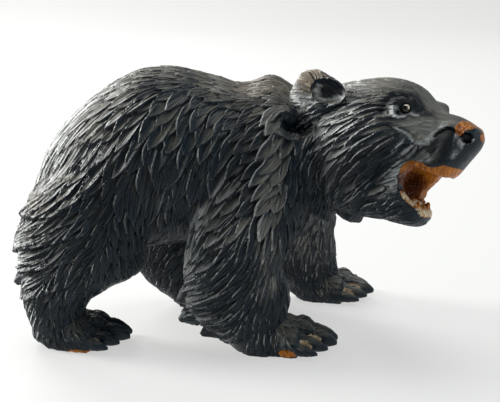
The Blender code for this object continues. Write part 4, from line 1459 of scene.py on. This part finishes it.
glass = eyeGlass()
for name, eye in eyes.items():
    mesh = bmesh.new()
    segments, rings = glassEye["segments"], glassEye["rings"]
    bmesh.ops.create_uvsphere(mesh, u_segments=segments, v_segments=rings, radius=eye["radius"])
    data = meshOf(name, mesh)
    bead = inScene("glassEyeRight" if name == "eye_right" else "glassEyeLeft", data)
    around = coordinates(data)[0]
    gaze = (glassEye["forward"], eye["side"], glassEye["up"])
    glint = onSide(glassEye["glint"], eye["side"])
    addAttribute(data, "fromPupil", "FLOAT", "POINT", angleFrom(gaze, around))
    addAttribute(data, "fromGlint", "FLOAT", "POINT", angleFrom(glint, around))
    data.transform(Matrix.Translation(Vector(eye["centre"])))
    data.materials.append(glass)
    shadeSmooth(data)
    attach(bead, "root")
    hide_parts(name)
print("eyes set")

# The studio: a sweep of pale paper, soft light from above, from the left and from behind
studio = {
    "width": 12.0,
    "front": -10.0,
    "bend": 3.4,
    "rise": 2.4,
    "top": 6.0,
    "under": 0.0003,
    "bendSteps": 24,
    "paper": (0.2, 0.202, 0.197, 1),
    "paperGlow": 0.54,
    "roomLight": 0.2,
    "roomColour": (0.78, 0.91, 1.0, 1),
    "lights": [  # name, place, what it points at, size, watts, colour
        ("windowLight", (-2.0, 3.4, 2.4), (0, 0, 0.12), 2.2, 150, (1.0, 0.995, 0.98)),
        ("leftLight", (-3.6, 0.9, 1.7), (0, 0, 0.12), 1.3, 270, (1.0, 0.995, 0.98)),
        ("topLight", (-0.2, 0.6, 3.6), (0, 0, 0.1), 2.6, 75, (1.0, 1.0, 1.0)),
        ("rightLight", (3.4, -0.9, 1.5), (0.1, 0, 0.1), 1.8, 32, (0.78, 0.91, 1.0)),
        ("frontLight", (0.7, -2.2, 1.2), (0, 0, 0.1), 1.4, 3, (0.75, 0.9, 1.0)),
    ],
    "camera": (0.0084, -0.9118, 0.3261),
    "cameraTilt": 76.8,
    "lens": 76.25,
}


def paperSweep():
    # floor and wall in one sheet, joined by a quarter circle
    bend, rise = studio["bend"], studio["rise"]
    profile = [(studio["front"], 0.0)]
    for step in range(studio["bendSteps"] + 1):
        turn = math.radians(90 * step / studio["bendSteps"])
        profile.append((bend + rise * math.sin(turn), rise * (1 - math.cos(turn))))
    profile.append((bend + rise, studio["top"]))
    mesh = bmesh.new()
    left, right = (
        [mesh.verts.new((x, y, z - studio["under"])) for y, z in profile]
        for x in (-studio["width"], studio["width"])
    )
    for k in range(len(profile) - 1):
        mesh.faces.new((left[k], right[k], right[k + 1], left[k + 1])).smooth = True
    made = inScene("paperSweep", meshOf("paperSweep", mesh))
    paper, add = emptyMaterial("palePaper")
    # the paper also glows: painted light that lifts its shadows and lights the bear faintly
    glow = {"Emission Color": (1.0, 1.0, 0.985, 1), "Emission Strength": studio["paperGlow"]}
    surface = add("BsdfPrincipled", {"Base Color": studio["paper"], "Roughness": 0.75, **glow})
    add("OutputMaterial", {0: surface.outputs[0]})
    made.data.materials.append(paper)
    return made


paperSweep()

for name, place, target, size, power, colour in studio["lights"]:
    lamp = bpy.data.lights.new(name, "AREA")
    lamp.shape = "DISK"
    lamp.size = size
    lamp.energy = power
    lamp.color = colour
    light = inScene(name, lamp)
    light.location = place
    light.rotation_euler = (Vector(target) - Vector(place)).to_track_quat("-Z", "Y").to_euler()
room = bpy.data.worlds.new("paleRoom")
room.use_nodes = True
background = room.node_tree.nodes["Background"]
background.inputs["Color"].default_value = studio["roomColour"]
background.inputs["Strength"].default_value = studio["roomLight"]
bpy.context.scene.world = room
bpy.context.scene.view_settings.view_transform = "Standard"

view = bpy.data.cameras.new("view")
view.sensor_width = 36
view.lens = studio["lens"]
camera = inScene("view", view)
camera.location = studio["camera"]
camera.rotation_euler = (math.radians(studio["cameraTilt"]), 0, 0)
bpy.context.scene.camera = camera
print("studio lit")
